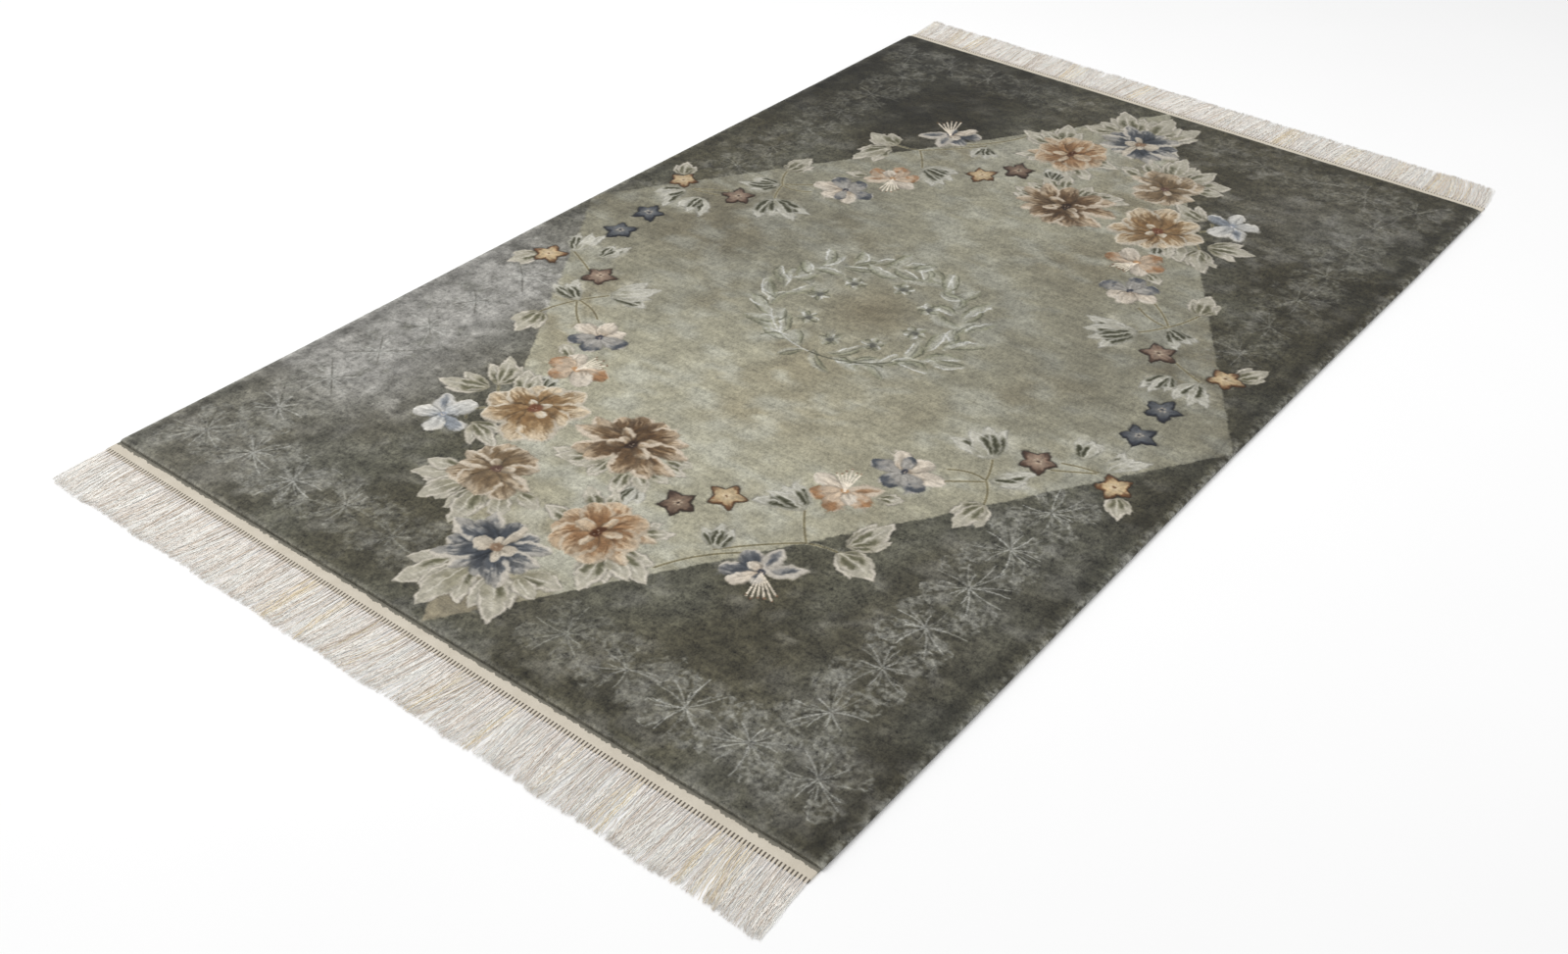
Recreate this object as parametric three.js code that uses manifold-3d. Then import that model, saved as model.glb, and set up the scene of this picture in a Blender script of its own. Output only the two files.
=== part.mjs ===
// Knotted pile rug lying flat: one carved pile field, and at each end a woven band with a knotted fringe.
// Millimetres, +Z up. X runs across the rug and Y along it. The origin is on the floor under its middle.
import * as THREE from "three";
import { mergeVertices } from "three/addons/utils/BufferGeometryUtils.js";
import Module from "manifold-3d";

const wasm = await Module();
wasm.setup();

// Driving dimensions of the pile field
const rugWidth = 1520;
const pileLength = 2384;
const pileTop = 11; // floor to clipped pile, foundation included
const shoulder = { width: 9, drop: 5, steps: 3 }; // the pile rounds over at its rim

// Driving dimensions of the band and fringe at each end
const seamGap = 0.3; // between the pile field and a band
const band = { width: 28, height: 3.2, crown: 0.6, inset: 2 };
const fringe = { length: 108, locks: 148, edgeLocks: 6 };
const lockSize = { rootWidth: 8.4, tipWidth: 4.6, rootHeight: 2.2, tipHeight: 1.4 };

// Sections of a lock, as shares of its length. The root lies inside the band, a little off the floor.
const lockSections = [
  { out: -0.05, lift: 0.5, taper: 0 },
  { out: 0.1, lift: 0, taper: 0.1 },
  { out: 0.55, lift: 0, taper: 0.5 },
  { out: 1, lift: 0, taper: 1 },
];

// The locks swing sideways in two waves along the band, and are cut shorter in two others
const swingWaves = [
  { reach: 9, pitch: 190, phase: 1 },
  { reach: 3, pitch: 47, phase: 2 },
];
const shortWaves = [
  { share: 0.05, perLock: 1.7, phase: 1 },
  { share: 0.03, perLock: 0.31, phase: 3 },
];
const endPhase = { near: 0.4, far: 2.1 };

// How far the long sides wander inwards from a straight edge
const sideWander = [
  { along: -1.0, left: 2, right: 0 },
  { along: -0.7, left: 4, right: 1 },
  { along: -0.35, left: 2, right: 3 },
  { along: 0.0, left: 0, right: 5 },
  { along: 0.35, left: 1, right: 3 },
  { along: 0.7, left: 3, right: 0 },
  { along: 1.0, left: 2, right: 1 },
];

// Height of each kind of carved motif over the clipped pile, and how deep its solid is rooted in it
const carved = { leaf: 0.6, blossom: 1.0, heart: 1.7, rooted: 1.5 };

// Outlines of the blossoms: lobes and notches of the open flower, and its raised heart as a share of it
const blossomKinds = {
  peony: { lobes: 9, notch: 0.3, heart: { share: 0.5, lobes: 6, notch: 0.3 } },
  rose: { lobes: 6, notch: 0.36, heart: { share: 0.42, lobes: 5, notch: 0.3 } },
  lily: { lobes: 5, notch: 0.5 },
  star: { points: 5, hollow: 0.62 },
};

// Blossoms of one half of the garland. The other half is the same turned half a turn about the middle.
const blossoms = [
  { kind: "peony", x: -38, y: -992, radius: 84, turn: 10 },
  { kind: "peony", x: 58, y: -858, radius: 82, turn: 0 },
  { kind: "peony", x: -190, y: -846, radius: 86, turn: 25 },
  { kind: "peony", x: -64, y: -648, radius: 98, turn: 5 },
  { kind: "rose", x: -275, y: -676, radius: 80, turn: 30 },
  { kind: "lily", x: -388, y: -782, radius: 58, turn: 40 },
  { kind: "lily", x: 318, y: -764, radius: 58, turn: 75 },
  { kind: "lily", x: 298, y: -524, radius: 62, turn: 15 },
  { kind: "lily", x: 344, y: -414, radius: 58, turn: 50 },
  { kind: "lily", x: -298, y: -534, radius: 62, turn: 165 },
  { kind: "lily", x: -354, y: -424, radius: 58, turn: 130 },
  { kind: "star", x: 156, y: -656, radius: 38, turn: 96 },
  { kind: "star", x: 105, y: -722, radius: 38, turn: 80 },
  { kind: "star", x: 508, y: -236, radius: 40, turn: 92 },
  { kind: "star", x: 646, y: -228, radius: 38, turn: 60 },
  { kind: "star", x: 598, y: -58, radius: 38, turn: 74 },
  { kind: "star", x: 600, y: 42, radius: 38, turn: 92 },
  { kind: "star", x: -507, y: -252, radius: 40, turn: 88 },
  { kind: "star", x: -650, y: -245, radius: 38, turn: 120 },
];

// Leaf sprays of the same half: where the stalk ends, and the way, spread, number and size of its leaves
const sprays = [
  { x: -44, y: -1040, turn: 262, spread: 96, leaves: 4, length: 118, width: 58 },
  { x: 108, y: -890, turn: 318, spread: 70, leaves: 3, length: 104, width: 46 },
  { x: -232, y: -890, turn: 236, spread: 92, leaves: 4, length: 96, width: 46 },
  { x: -66, y: -704, turn: 236, spread: 64, leaves: 3, length: 104, width: 36 },
  { x: 16, y: -668, turn: 350, spread: 54, leaves: 2, length: 62, width: 30 },
  { x: 14, y: -812, turn: 142, spread: 44, leaves: 2, length: 74, width: 30 },
  { x: 276, y: -600, turn: 176, spread: 60, leaves: 3, length: 84, width: 34 },
  { x: 232, y: -776, turn: 128, spread: 56, leaves: 3, length: 70, width: 28 },
  { x: 392, y: -662, turn: 342, spread: 0, leaves: 1, length: 86, width: 46 },
  { x: 388, y: -624, turn: 70, spread: 0, leaves: 1, length: 92, width: 50 },
  { x: 443, y: -282, turn: 146, spread: 52, leaves: 2, length: 98, width: 44 },
  { x: 470, y: -338, turn: 28, spread: 0, leaves: 1, length: 82, width: 40 },
  { x: 502, y: -396, turn: 262, spread: 0, leaves: 1, length: 96, width: 54 },
  { x: 566, y: -188, turn: 104, spread: 40, leaves: 2, length: 76, width: 32 },
  { x: 616, y: -194, turn: 66, spread: 40, leaves: 2, length: 76, width: 32 },
  { x: 664, y: -246, turn: 308, spread: 0, leaves: 1, length: 62, width: 40 },
  { x: -340, y: -672, turn: 132, spread: 44, leaves: 2, length: 104, width: 48 },
  { x: -330, y: -768, turn: 342, spread: 0, leaves: 1, length: 92, width: 40 },
  { x: -392, y: -682, turn: 196, spread: 0, leaves: 1, length: 98, width: 38 },
  { x: -443, y: -298, turn: 34, spread: 52, leaves: 2, length: 98, width: 44 },
  { x: -472, y: -350, turn: 160, spread: 0, leaves: 1, length: 82, width: 40 },
  { x: -502, y: -416, turn: 278, spread: 0, leaves: 1, length: 92, width: 52 },
  { x: -566, y: -204, turn: 76, spread: 40, leaves: 2, length: 76, width: 32 },
  { x: -616, y: -210, turn: 116, spread: 40, leaves: 2, length: 76, width: 32 },
  { x: -664, y: -262, turn: 232, spread: 0, leaves: 1, length: 62, width: 40 },
];

// The wreath in the middle of the field: leaves in pairs on a ring
const wreath = { radius: 172, pairs: 13, lean: 34, length: 66, width: 24 };

// A leaf starts this far from the end of its stalk, so that the leaves of a spray stand apart there
const stalkGap = 7;

// How finely the outlines of the motifs are drawn
const lobeSamples = 3;
const leafSteps = 4;

const pileYarn = new THREE.MeshStandardMaterial({ color: 0x77776a, roughness: 0.85, metalness: 0 });
const cottonYarn = new THREE.MeshStandardMaterial({ color: 0xd9cfbd, roughness: 0.9, metalness: 0 });

// A closed geometry as a solid for joining and cutting
function solidOf(geometry) {
  const bare = geometry.clone();
  bare.deleteAttribute("normal");
  bare.deleteAttribute("uv");
  const merged = mergeVertices(bare, 1e-4);
  return new wasm.Manifold(
    new wasm.Mesh({
      numProp: 3,
      vertProperties: new Float32Array(merged.attributes.position.array),
      triVerts: new Uint32Array(merged.index.array),
    }),
  );
}

// A solid back as a geometry for a mesh
function geometryOf(solid) {
  const { vertProperties, triVerts } = solid.getMesh();
  const geometry = new THREE.BufferGeometry();
  geometry.setAttribute("position", new THREE.BufferAttribute(vertProperties, 3));
  geometry.setIndex(new THREE.BufferAttribute(triVerts, 1));
  geometry.computeVertexNormals();
  return geometry;
}

function join(solids) {
  return solids.reduce((whole, piece) => whole.add(piece));
}

// The field's outline inside its shoulder, with the long sides wandering
function fieldOutline() {
  const reachX = rugWidth / 2 - shoulder.width;
  const reachY = pileLength / 2 - shoulder.width;
  const side = (sign, key) =>
    new THREE.SplineCurve(
      sideWander.map((row) => new THREE.Vector2(sign * (reachX - row[key]), row.along * reachY)),
    ).getPoints(4 * (sideWander.length - 1));
  return new THREE.Shape([...side(1, "right"), ...side(-1, "left").reverse()]);
}

// The field without its carving: a slab with rounded upper edges and a flat underside
function fieldSlab() {
  const plate = new THREE.ExtrudeGeometry(fieldOutline(), {
    depth: 2 * (pileTop - shoulder.drop),
    bevelThickness: shoulder.drop,
    bevelSize: shoulder.width,
    bevelSegments: shoulder.steps,
  });
  plate.translate(0, 0, shoulder.drop - pileTop);
  const underFloor = new THREE.BoxGeometry(2 * rugWidth, 2 * pileLength, 4 * pileTop);
  underFloor.translate(0, 0, -2 * pileTop);
  return solidOf(plate).subtract(solidOf(underFloor));
}

// Outline of an open flower: round lobes with notches between them
function lobedOutline(radius, lobes, notch) {
  const samples = lobeSamples * lobes;
  return Array.from({ length: samples }, (_, i) => {
    const angle = (2 * Math.PI * i) / samples;
    const dip = 1 - Math.abs(Math.cos((lobes * angle) / 2));
    const reach = radius * (1 - notch * dip);
    return new THREE.Vector2(reach * Math.cos(angle), reach * Math.sin(angle));
  });
}

// Outline of a star flower: points with hollow sides
function starOutline(radius, points, hollow) {
  return Array.from({ length: 2 * points }, (_, i) => {
    const angle = (Math.PI * i) / points;
    const reach = i % 2 ? radius * hollow : radius;
    return new THREE.Vector2(reach * Math.cos(angle), reach * Math.sin(angle));
  });
}

// Outline of a leaf along +X from its stalk to its tip, widest before the middle
function leafOutline(length, width) {
  const upper = Array.from({ length: leafSteps - 1 }, (_, i) => {
    const share = (i + 1) / leafSteps;
    const x = THREE.MathUtils.lerp(stalkGap, length, share);
    return new THREE.Vector2(x, (width / 2) * Math.sin(Math.PI * share ** 0.8));
  });
  const lower = upper.map((point) => new THREE.Vector2(point.x, -point.y));
  return [new THREE.Vector2(stalkGap, 0), ...lower, new THREE.Vector2(length, 0), ...upper.toReversed()];
}

// A motif left standing in the carved pile: its outline raised by a height, turned and set in place
function raised(outline, height, { x, y, turn }) {
  const pad = new THREE.ExtrudeGeometry(new THREE.Shape(outline), {
    depth: carved.rooted + height,
    bevelEnabled: false,
  });
  pad.rotateZ(THREE.MathUtils.degToRad(turn));
  pad.translate(x, y, pileTop - carved.rooted);
  return solidOf(pad);
}

function blossom(place) {
  const { lobes, notch, points, hollow, heart } = blossomKinds[place.kind];
  const outline = points
    ? starOutline(place.radius, points, hollow)
    : lobedOutline(place.radius, lobes, notch);
  const solids = [raised(outline, carved.blossom, place)];
  if (heart) {
    const inner = lobedOutline(place.radius * heart.share, heart.lobes, heart.notch);
    solids.push(raised(inner, carved.heart, place));
  }
  return solids;
}

function spray({ x, y, turn, spread, leaves, length, width }) {
  const outline = leafOutline(length, width);
  const step = leaves > 1 ? spread / (leaves - 1) : 0;
  return Array.from({ length: leaves }, (_, i) =>
    raised(outline, carved.leaf, { x, y, turn: turn - spread / 2 + i * step }),
  );
}

function wreathLeaves() {
  const outline = leafOutline(wreath.length, wreath.width);
  return Array.from({ length: 2 * wreath.pairs }, (_, i) => {
    const around = (360 / wreath.pairs) * Math.floor(i / 2);
    const lean = i % 2 ? wreath.lean : -wreath.lean;
    const x = wreath.radius * Math.cos(THREE.MathUtils.degToRad(around));
    const y = wreath.radius * Math.sin(THREE.MathUtils.degToRad(around));
    return raised(outline, carved.leaf, { x, y, turn: around + 90 + lean });
  });
}

// The field with its carving. The half garland is joined twice, the second time turned half a turn.
function pileField() {
  const half = join([...blossoms.flatMap(blossom), ...sprays.flatMap(spray)]);
  return join([fieldSlab(), half, half.rotate([0, 0, 180]), ...wreathLeaves()]);
}

// One lock of fringe: a three-sided strand that leaves the band and lies level on the floor
function lock(x, length, swing) {
  const points = lockSections.flatMap(({ out, lift, taper }) => {
    const middle = x + swing * Math.max(0, out) ** 1.6;
    const half = THREE.MathUtils.lerp(lockSize.rootWidth, lockSize.tipWidth, taper) / 2;
    const top = THREE.MathUtils.lerp(lockSize.rootHeight, lockSize.tipHeight, taper);
    const y = -out * length;
    return [middle - half, y, lift, middle + half, y, lift, middle, y, top];
  });
  const faces = [0, 2, 1];
  const last = 3 * (lockSections.length - 1);
  for (let row = 0; row < last; row += 3) {
    for (let side = 0; side < 3; side++) {
      const a = row + side;
      const b = row + ((side + 1) % 3);
      faces.push(a, b, a + 3, b, b + 3, a + 3);
    }
  }
  faces.push(last, last + 1, last + 2);
  const geometry = new THREE.BufferGeometry();
  geometry.setAttribute("position", new THREE.Float32BufferAttribute(points, 3));
  geometry.setIndex(faces);
  return solidOf(geometry);
}

// The woven band across one end, in its own frame: its outer edge on Y 0, the rug towards +Y
function endBand() {
  const { width, height, crown } = band;
  const section = new THREE.Shape()
    .moveTo(0, 0)
    .lineTo(width, 0)
    .lineTo(width, height - crown)
    .quadraticCurveTo(width / 2, height + crown, 0, height - crown);
  const length = rugWidth - 2 * band.inset;
  const strip = new THREE.ExtrudeGeometry(section, { depth: length, bevelEnabled: false, curveSegments: 4 });
  strip.rotateX(Math.PI / 2);
  strip.rotateZ(Math.PI / 2);
  strip.translate(-length / 2, 0, 0);
  return solidOf(strip);
}

// A band with its fringe. The first lock keeps its full length, so both ends reach equally far.
function fringedBand(phase) {
  const run = rugWidth - 2 * band.inset - lockSize.rootWidth;
  const lastLock = fringe.locks - 1;
  const locks = Array.from({ length: fringe.locks }, (_, i) => {
    const x = run * (i / lastLock - 0.5);
    const swing = swingWaves.reduce((sum, w) => sum + w.reach * Math.sin(x / w.pitch + w.phase * phase), 0);
    const short = shortWaves.reduce((sum, w) => sum + w.share * (1 + Math.sin(i * w.perLock + w.phase * phase)), 0);
    const inward = Math.min(1, i / fringe.edgeLocks, (lastLock - i) / fringe.edgeLocks);
    return lock(x, fringe.length * (i ? 1 - short : 1), swing * inward);
  });
  return join([endBand(), ...locks]);
}

function piece(name, solid, material) {
  const mesh = new THREE.Mesh(geometryOf(solid), material);
  mesh.name = name;
  return mesh;
}

const outerEdge = pileLength / 2 + seamGap + band.width;

const nearEnd = piece("fringe_near", fringedBand(endPhase.near), cottonYarn);
nearEnd.position.y = -outerEdge;

const farEnd = piece("fringe_far", fringedBand(endPhase.far), cottonYarn);
farEnd.position.y = outerEdge;
farEnd.rotation.z = Math.PI;

const rug = new THREE.Group();
rug.add(piece("pile_field", pileField(), pileYarn), nearEnd, farEnd);

export default rug;
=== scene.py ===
import math

import bpy
import numpy as np
from mathutils import Matrix, Vector


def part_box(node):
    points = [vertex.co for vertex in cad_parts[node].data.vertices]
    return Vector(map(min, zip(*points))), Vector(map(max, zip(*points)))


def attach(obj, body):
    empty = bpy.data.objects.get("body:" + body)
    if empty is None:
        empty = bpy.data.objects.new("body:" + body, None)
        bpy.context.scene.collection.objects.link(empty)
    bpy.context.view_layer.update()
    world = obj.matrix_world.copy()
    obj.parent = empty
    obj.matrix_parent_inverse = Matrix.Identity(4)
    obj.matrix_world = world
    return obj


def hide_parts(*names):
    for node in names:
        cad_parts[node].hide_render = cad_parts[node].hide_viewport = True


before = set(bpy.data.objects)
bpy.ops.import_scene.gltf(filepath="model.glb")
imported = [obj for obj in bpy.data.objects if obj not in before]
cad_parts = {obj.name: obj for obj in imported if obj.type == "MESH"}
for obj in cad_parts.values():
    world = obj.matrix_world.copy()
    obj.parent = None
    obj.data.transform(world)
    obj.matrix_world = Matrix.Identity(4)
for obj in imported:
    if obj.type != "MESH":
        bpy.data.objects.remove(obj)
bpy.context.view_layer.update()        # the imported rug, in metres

mm = 0.001
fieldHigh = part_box("pile_field")[1]
halfWide = fieldHigh.x / mm                       # the pattern is drawn in millimetres
halfLong = fieldHigh.y / mm
print("frame loaded:", sorted(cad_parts), "pile", round(halfWide * 2), "x", round(halfLong * 2), "mm")


# the photograph's camera, worked back from the rug's corners
camera = {"place": (1.6346, -2.4428, 1.7482), "azimuth": 37.27, "elevation": 36.17, "roll": 1.35,
          "lens": 39.955, "film": 36.0, "sees": 50.0}


def makeCamera():
    az, el, roll = (math.radians(camera[k]) for k in ("azimuth", "elevation", "roll"))
    ahead = Vector((-math.sin(az) * math.cos(el), math.cos(az) * math.cos(el), -math.sin(el)))
    level = ahead.cross(Vector((0, 0, 1))).normalized()
    right = math.cos(roll) * level + math.sin(roll) * level.cross(ahead)
    up = right.cross(ahead)
    bpy.ops.object.camera_add()
    cam = bpy.context.object
    cam.name = "photoCamera"
    cam.matrix_world = Matrix((right, up, -ahead)).transposed().to_4x4()
    cam.location = camera["place"]
    cam.data.lens = camera["lens"]
    cam.data.sensor_width = camera["film"]
    cam.data.clip_end = camera["sees"]
    bpy.context.scene.camera = cam


makeCamera()
print("camera in place")


# number helpers for drawing on arrays of points
def smooth(t):
    t = np.clip(t, 0, 1)
    return t * t * (3 - 2 * t)


def ramp(v, start, run):
    return smooth((v - start) / run)


def bell(v, wide):
    return np.exp(-(v / wide) ** 2)


def mix(a, b, share):
    return a + (b - a) * share[:, None]


def shade(colour, by):
    return colour * by[:, None]


# a colour, for dyes and for the painted light and shade noted where used
def tone(r, g, b):
    return np.array([r, g, b], float)


def polar(x, y, reach, angle):
    return x + reach * math.cos(angle), y + reach * math.sin(angle)


# the same seeds always give the same number from 0 to 1
def chance(*seeds):
    v = math.sin(sum(s * k for s, k in zip(seeds, (12.9898, 78.233, 37.719, 94.673)))) * 43758.5453
    return v - math.floor(v)


def sway(amount, *seeds):
    return amount * (chance(*seeds) - 0.5)


def mottle(x, y, cell, seed=0):
    gx, gy = x / cell, y / cell
    ix, iy = np.floor(gx), np.floor(gy)
    fx, fy = smooth(gx - ix), smooth(gy - iy)

    def corner(a, b):
        v = np.sin(a * 127.1 + b * 311.7 + seed * 74.7) * 43758.5453
        return v - np.floor(v)

    low = corner(ix, iy) * (1 - fx) + corner(ix + 1, iy) * fx
    high = corner(ix, iy + 1) * (1 - fx) + corner(ix + 1, iy + 1) * fx
    return low * (1 - fy) + high * fy


# the far half of the pattern starts before the middle, lies a little short and to one side, in mm
farHalf = {"overlap": 200, "short": 42, "fades": 800, "aside": 10}


# what the knots at some points of the rug hold: dye with its painted light and shade, pile height, how freely
# the nap lies, nearest cut
class Canvas:
    kept = ("colour", "height", "nap", "reach")
    margin = 15.0                                 # looked at beyond a motif's own reach
    motifNap = 0.35
    groove = 2.0

    # dyed yarns lean about, so no outline on the rug is exact; the carver's lines run truer
    def __init__(self, x, y):
        self.x = x + 4.0 * (mottle(x, y, 13, 41) - 0.5) + 3.0 * (mottle(x, y, 5, 42) - 0.5)
        self.y = y + 4.0 * (mottle(x, y, 13, 43) - 0.5) + 3.0 * (mottle(x, y, 5, 44) - 0.5)
        self.cutX, self.cutY = x, y
        self.colour = np.zeros((len(x), 3))
        self.height = np.zeros(len(x))
        self.nap = np.ones(len(x))
        self.reach = np.full(len(x), 1e3)

    # the points of one half of the rug, turned so that this half is the near one
    def half(self, way):
        k = farHalf
        pick = np.nonzero(way * self.y < k["overlap"])[0]
        short = k["short"] * (1 - np.clip((self.cutY[pick] - k["overlap"]) / k["fades"], 0, 1) ** 2)
        aside, along = (0, 0) if way > 0 else (k["aside"], short)
        part = Canvas.__new__(Canvas)
        part.x, part.cutX = (way * (v[pick] + aside) for v in (self.x, self.cutX))
        part.y, part.cutY = (way * (v[pick] + along) for v in (self.y, self.cutY))
        for name in self.kept:
            setattr(part, name, getattr(self, name)[pick])
        return pick, part

    def put(self, pick, part):
        for name in self.kept:
            getattr(self, name)[pick] = getattr(part, name)

    def near(self, x, y, r):
        r += self.margin
        return np.nonzero((np.abs(self.x - x) < r) & (np.abs(self.y - y) < r))[0]

    # d is the distance from the outline, below zero inside it
    def lay(self, pick, d, colour, height, cut, line, soft=1.8):
        cover = 1 - ramp(d, -soft, 2 * soft)
        groove = bell(d, self.groove)
        # line darkens the dye along the cut: painted shade in the groove
        self.colour[pick] = shade(mix(self.colour[pick], colour, cover), 1 - line * groove)
        self.height[pick] += cover * (height - self.height[pick])
        self.height[pick] -= cut * groove
        self.nap[pick] += cover * (self.motifNap - self.nap[pick])
        self.touch(pick, d)

    # a stroke over what is there, w its strength from 0 to 1
    def stroke(self, pick, w, colour, cut=0.0):
        self.colour[pick] = mix(self.colour[pick], colour, w)
        self.height[pick] -= cut * w

    def touch(self, pick, d):
        self.reach[pick] = np.minimum(self.reach[pick], d)


# along 0..1, across in mm, half width and outline distance of a blade from its base to its tip
def blade(c, base, tip, width, bend, full, blunt, teeth, seed):
    (x0, y0), (x1, y1) = base, tip
    length = math.hypot(x1 - x0, y1 - y0)
    ux, uy = (x1 - x0) / length, (y1 - y0) / length
    pick = c.near((x0 + x1) / 2, (y0 + y1) / 2, length / 2 + width / 3)
    dx, dy = c.x[pick] - x0, c.y[pick] - y0
    t = (dx * ux + dy * uy) / length
    v = dy * ux - dx * uy
    tc = np.clip(t, 0, 1)
    v = v - bend * length * 4 * tc * (1 - tc)
    peak = full / (full + blunt)
    profile = tc ** full * (1 - tc) ** blunt / (peak ** full * (1 - peak) ** blunt)
    wave = np.sin(tc * 15 + seed * 3.1) * 0.5 + np.sin(tc * 27 + seed * 1.7 + np.sign(v)) * 0.5
    half = width / 2 * profile * (1 + teeth * wave * ramp(tc, 0.25, 0.3))
    past = np.maximum(0, np.maximum(-t, t - 1)) * length
    out = np.abs(v) - half
    d = np.where((past > 0) | (out > 0), np.hypot(np.maximum(out, 0), past), out * 0.85)
    return pick, tc, v, half, d, length


# almond: how wide and how far along the dark patch at the leaf's foot is; line: how dark the painted shade in
# the cut round the leaf is
leafLooks = {
    "leaf": {"body": tone(182, 176, 157), "deep": tone(144, 138, 113), "rim": tone(222, 213, 196),
             "vein": tone(226, 220, 204), "wedge": tone(88, 86, 60), "rimWidth": 4.0, "wedges": 0.9,
             "almond": (0.26, 0.36), "line": 0.26, "soft": 1.8},
    "soft": {"body": tone(190, 187, 172), "deep": tone(156, 153, 133), "rim": tone(217, 214, 201),
             "vein": tone(222, 219, 207), "wedge": tone(60, 60, 39), "rimWidth": 3.0, "wedges": 1.0,
             "almond": (0.36, 0.52), "line": 0.2, "soft": 3.0},
}
ribPitch = 26


# pale blade with a bright midrib, a dark almond on one or both sides of its base
def leaf(c, base, tip, width, look, bend, seed):
    k = leafLooks[look]
    pick, t, v, half, d, length = blade(c, base, tip, width, bend, 0.8, 0.92, 0.1, seed)
    if not len(pick):
        return
    s = np.abs(v) / np.maximum(half, 0.5)
    streak = mottle(v * 1.2 + seed * 7, t * length * 0.15, 3.4, seed)
    cloud = mottle(v + seed * 17, t * length, 13, seed)
    colour = shade(mix(k["deep"], k["body"], smooth(t * 1.7 + (cloud - 0.5) * 0.9)), 0.92 + 0.16 * streak)
    rim = 1 - ramp(-d, k["rimWidth"] * (0.2 + cloud), 3)
    rim = rim * (0.35 + 0.6 * ramp(cloud, 0.2, 0.4)) * (0.4 + 0.6 * smooth(t * 2))
    colour = mix(colour, k["rim"], rim)
    wide, long = k["almond"]
    almond = bell(s - 0.44, wide) * ramp(t, 0.08, 0.1) * (1 - ramp(t, long + 0.16 * cloud, 0.16))
    almond = almond * np.where(v > 0, chance(seed, 5) > 0.25, chance(seed, 6) > 0.4)
    colour = mix(colour, k["wedge"], almond * k["wedges"])
    midrib = bell(v, 1.7) * ramp(t, 0.02, 0.1) * (1 - ramp(t, 0.66, 0.2))
    row = (t * length - np.abs(v) * 1.7) / ribPitch + seed * 0.37 + 0.1 * np.sign(v)
    ribs = bell(np.abs(row % 1 - 0.5) * ribPitch, 1.7) * ramp(s, 0.05, 0.2) * (1 - ramp(s, 0.7, 0.25))
    ribs = ribs * (t > 0.2) * ramp(cloud, 0.35, 0.3)
    colour = mix(colour, k["vein"], np.clip(midrib * 0.7 + ribs * 0.4, 0, 1))
    lift = 0.6 * smooth(-d / 7) - 0.4 * midrib - 0.2 * ribs - 0.3 * almond
    c.lay(pick, d, colour, lift, 0.5, k["line"] * cloud, k["soft"])


leafPoints = ((24, 0.78, 0.56), (-25, 0.74, 0.56), (0, 1.0, 0.7))    # turn, share of the length, of the width


# a broad leaf ends in three points
def lobedLeaf(c, base, tip, width, bend, seed):
    dx, dy = tip[0] - base[0], tip[1] - base[1]
    for turn, share, wide in leafPoints:
        a = math.radians(turn + sway(10, seed, turn))
        end = (base[0] + share * (dx * math.cos(a) - dy * math.sin(a)),
               base[1] + share * (dx * math.sin(a) + dy * math.cos(a)))
        leaf(c, base, end, width * wide, "leaf", bend, seed + turn)


petalDyes = {  # deep, middle and rim
    "blue": (tone(60, 66, 75), tone(112, 114, 116), tone(213, 204, 188)),
    "brown": (tone(119, 95, 65), tone(155, 131, 99), tone(218, 204, 183)),
    "walnut": (tone(90, 64, 38), tone(147, 118, 82), tone(219, 203, 181)),
    "rust": (tone(147, 103, 63), tone(182, 147, 108), tone(216, 200, 175)),
    "gold": (tone(138, 102, 60), tone(188, 159, 117), tone(229, 219, 200)),
    "navy": (tone(76, 81, 89), tone(120, 121, 122), tone(211, 202, 187)),
    "ice": (tone(130, 137, 146), tone(172, 176, 179), tone(222, 218, 209)),
    "cream": (tone(182, 160, 134), tone(204, 188, 166), tone(224, 213, 196)),
    "oat": (tone(160, 144, 122), tone(191, 177, 155), tone(213, 202, 183)),
    "white": (tone(160, 166, 172), tone(197, 198, 195), tone(225, 220, 209)),
    "orange": (tone(162, 118, 79), tone(196, 161, 126), tone(219, 203, 181)),
}
# deep dye along the petal, how pale the rest and the end are, turned edge in mm and where it starts; line:
# how dark the painted shade in the cut round the petal is
petalColumns = ("deep", "rest", "end", "edge", "start", "blunt", "soft", "line")
petalKinds = {
    "back": ((-0.5, 0.8), 0.0, 0.75, 7.0, 0.3, 0.46, 3.6, 0.34),
    "side": ((-0.5, 0.52), 0.1, 0.85, 9.0, 0.08, 0.66, 2.4, 0.42),
    "bowl": ((-0.5, 0.66), 0.1, 0.6, 6.5, 0.15, 0.5, 3.0, 0.36),
    "patch": ((0.14, 0.9), 0.8, 0.9, 10.5, -0.4, 0.72, 3.2, 0.12),
    "cup": ((-0.5, 0.62), 0.2, 0.7, 6.5, 0.18, 0.56, 2.6, 0.5),
    "tipped": ((0.5, 1.6), 0.85, 0.0, 2.5, 0.6, 0.42, 2.4, 0.2),
    "inner": ((-0.9, 0.16), 0.6, 1.0, 5.0, 0.2, 0.5, 2.2, 0.4),
}


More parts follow.
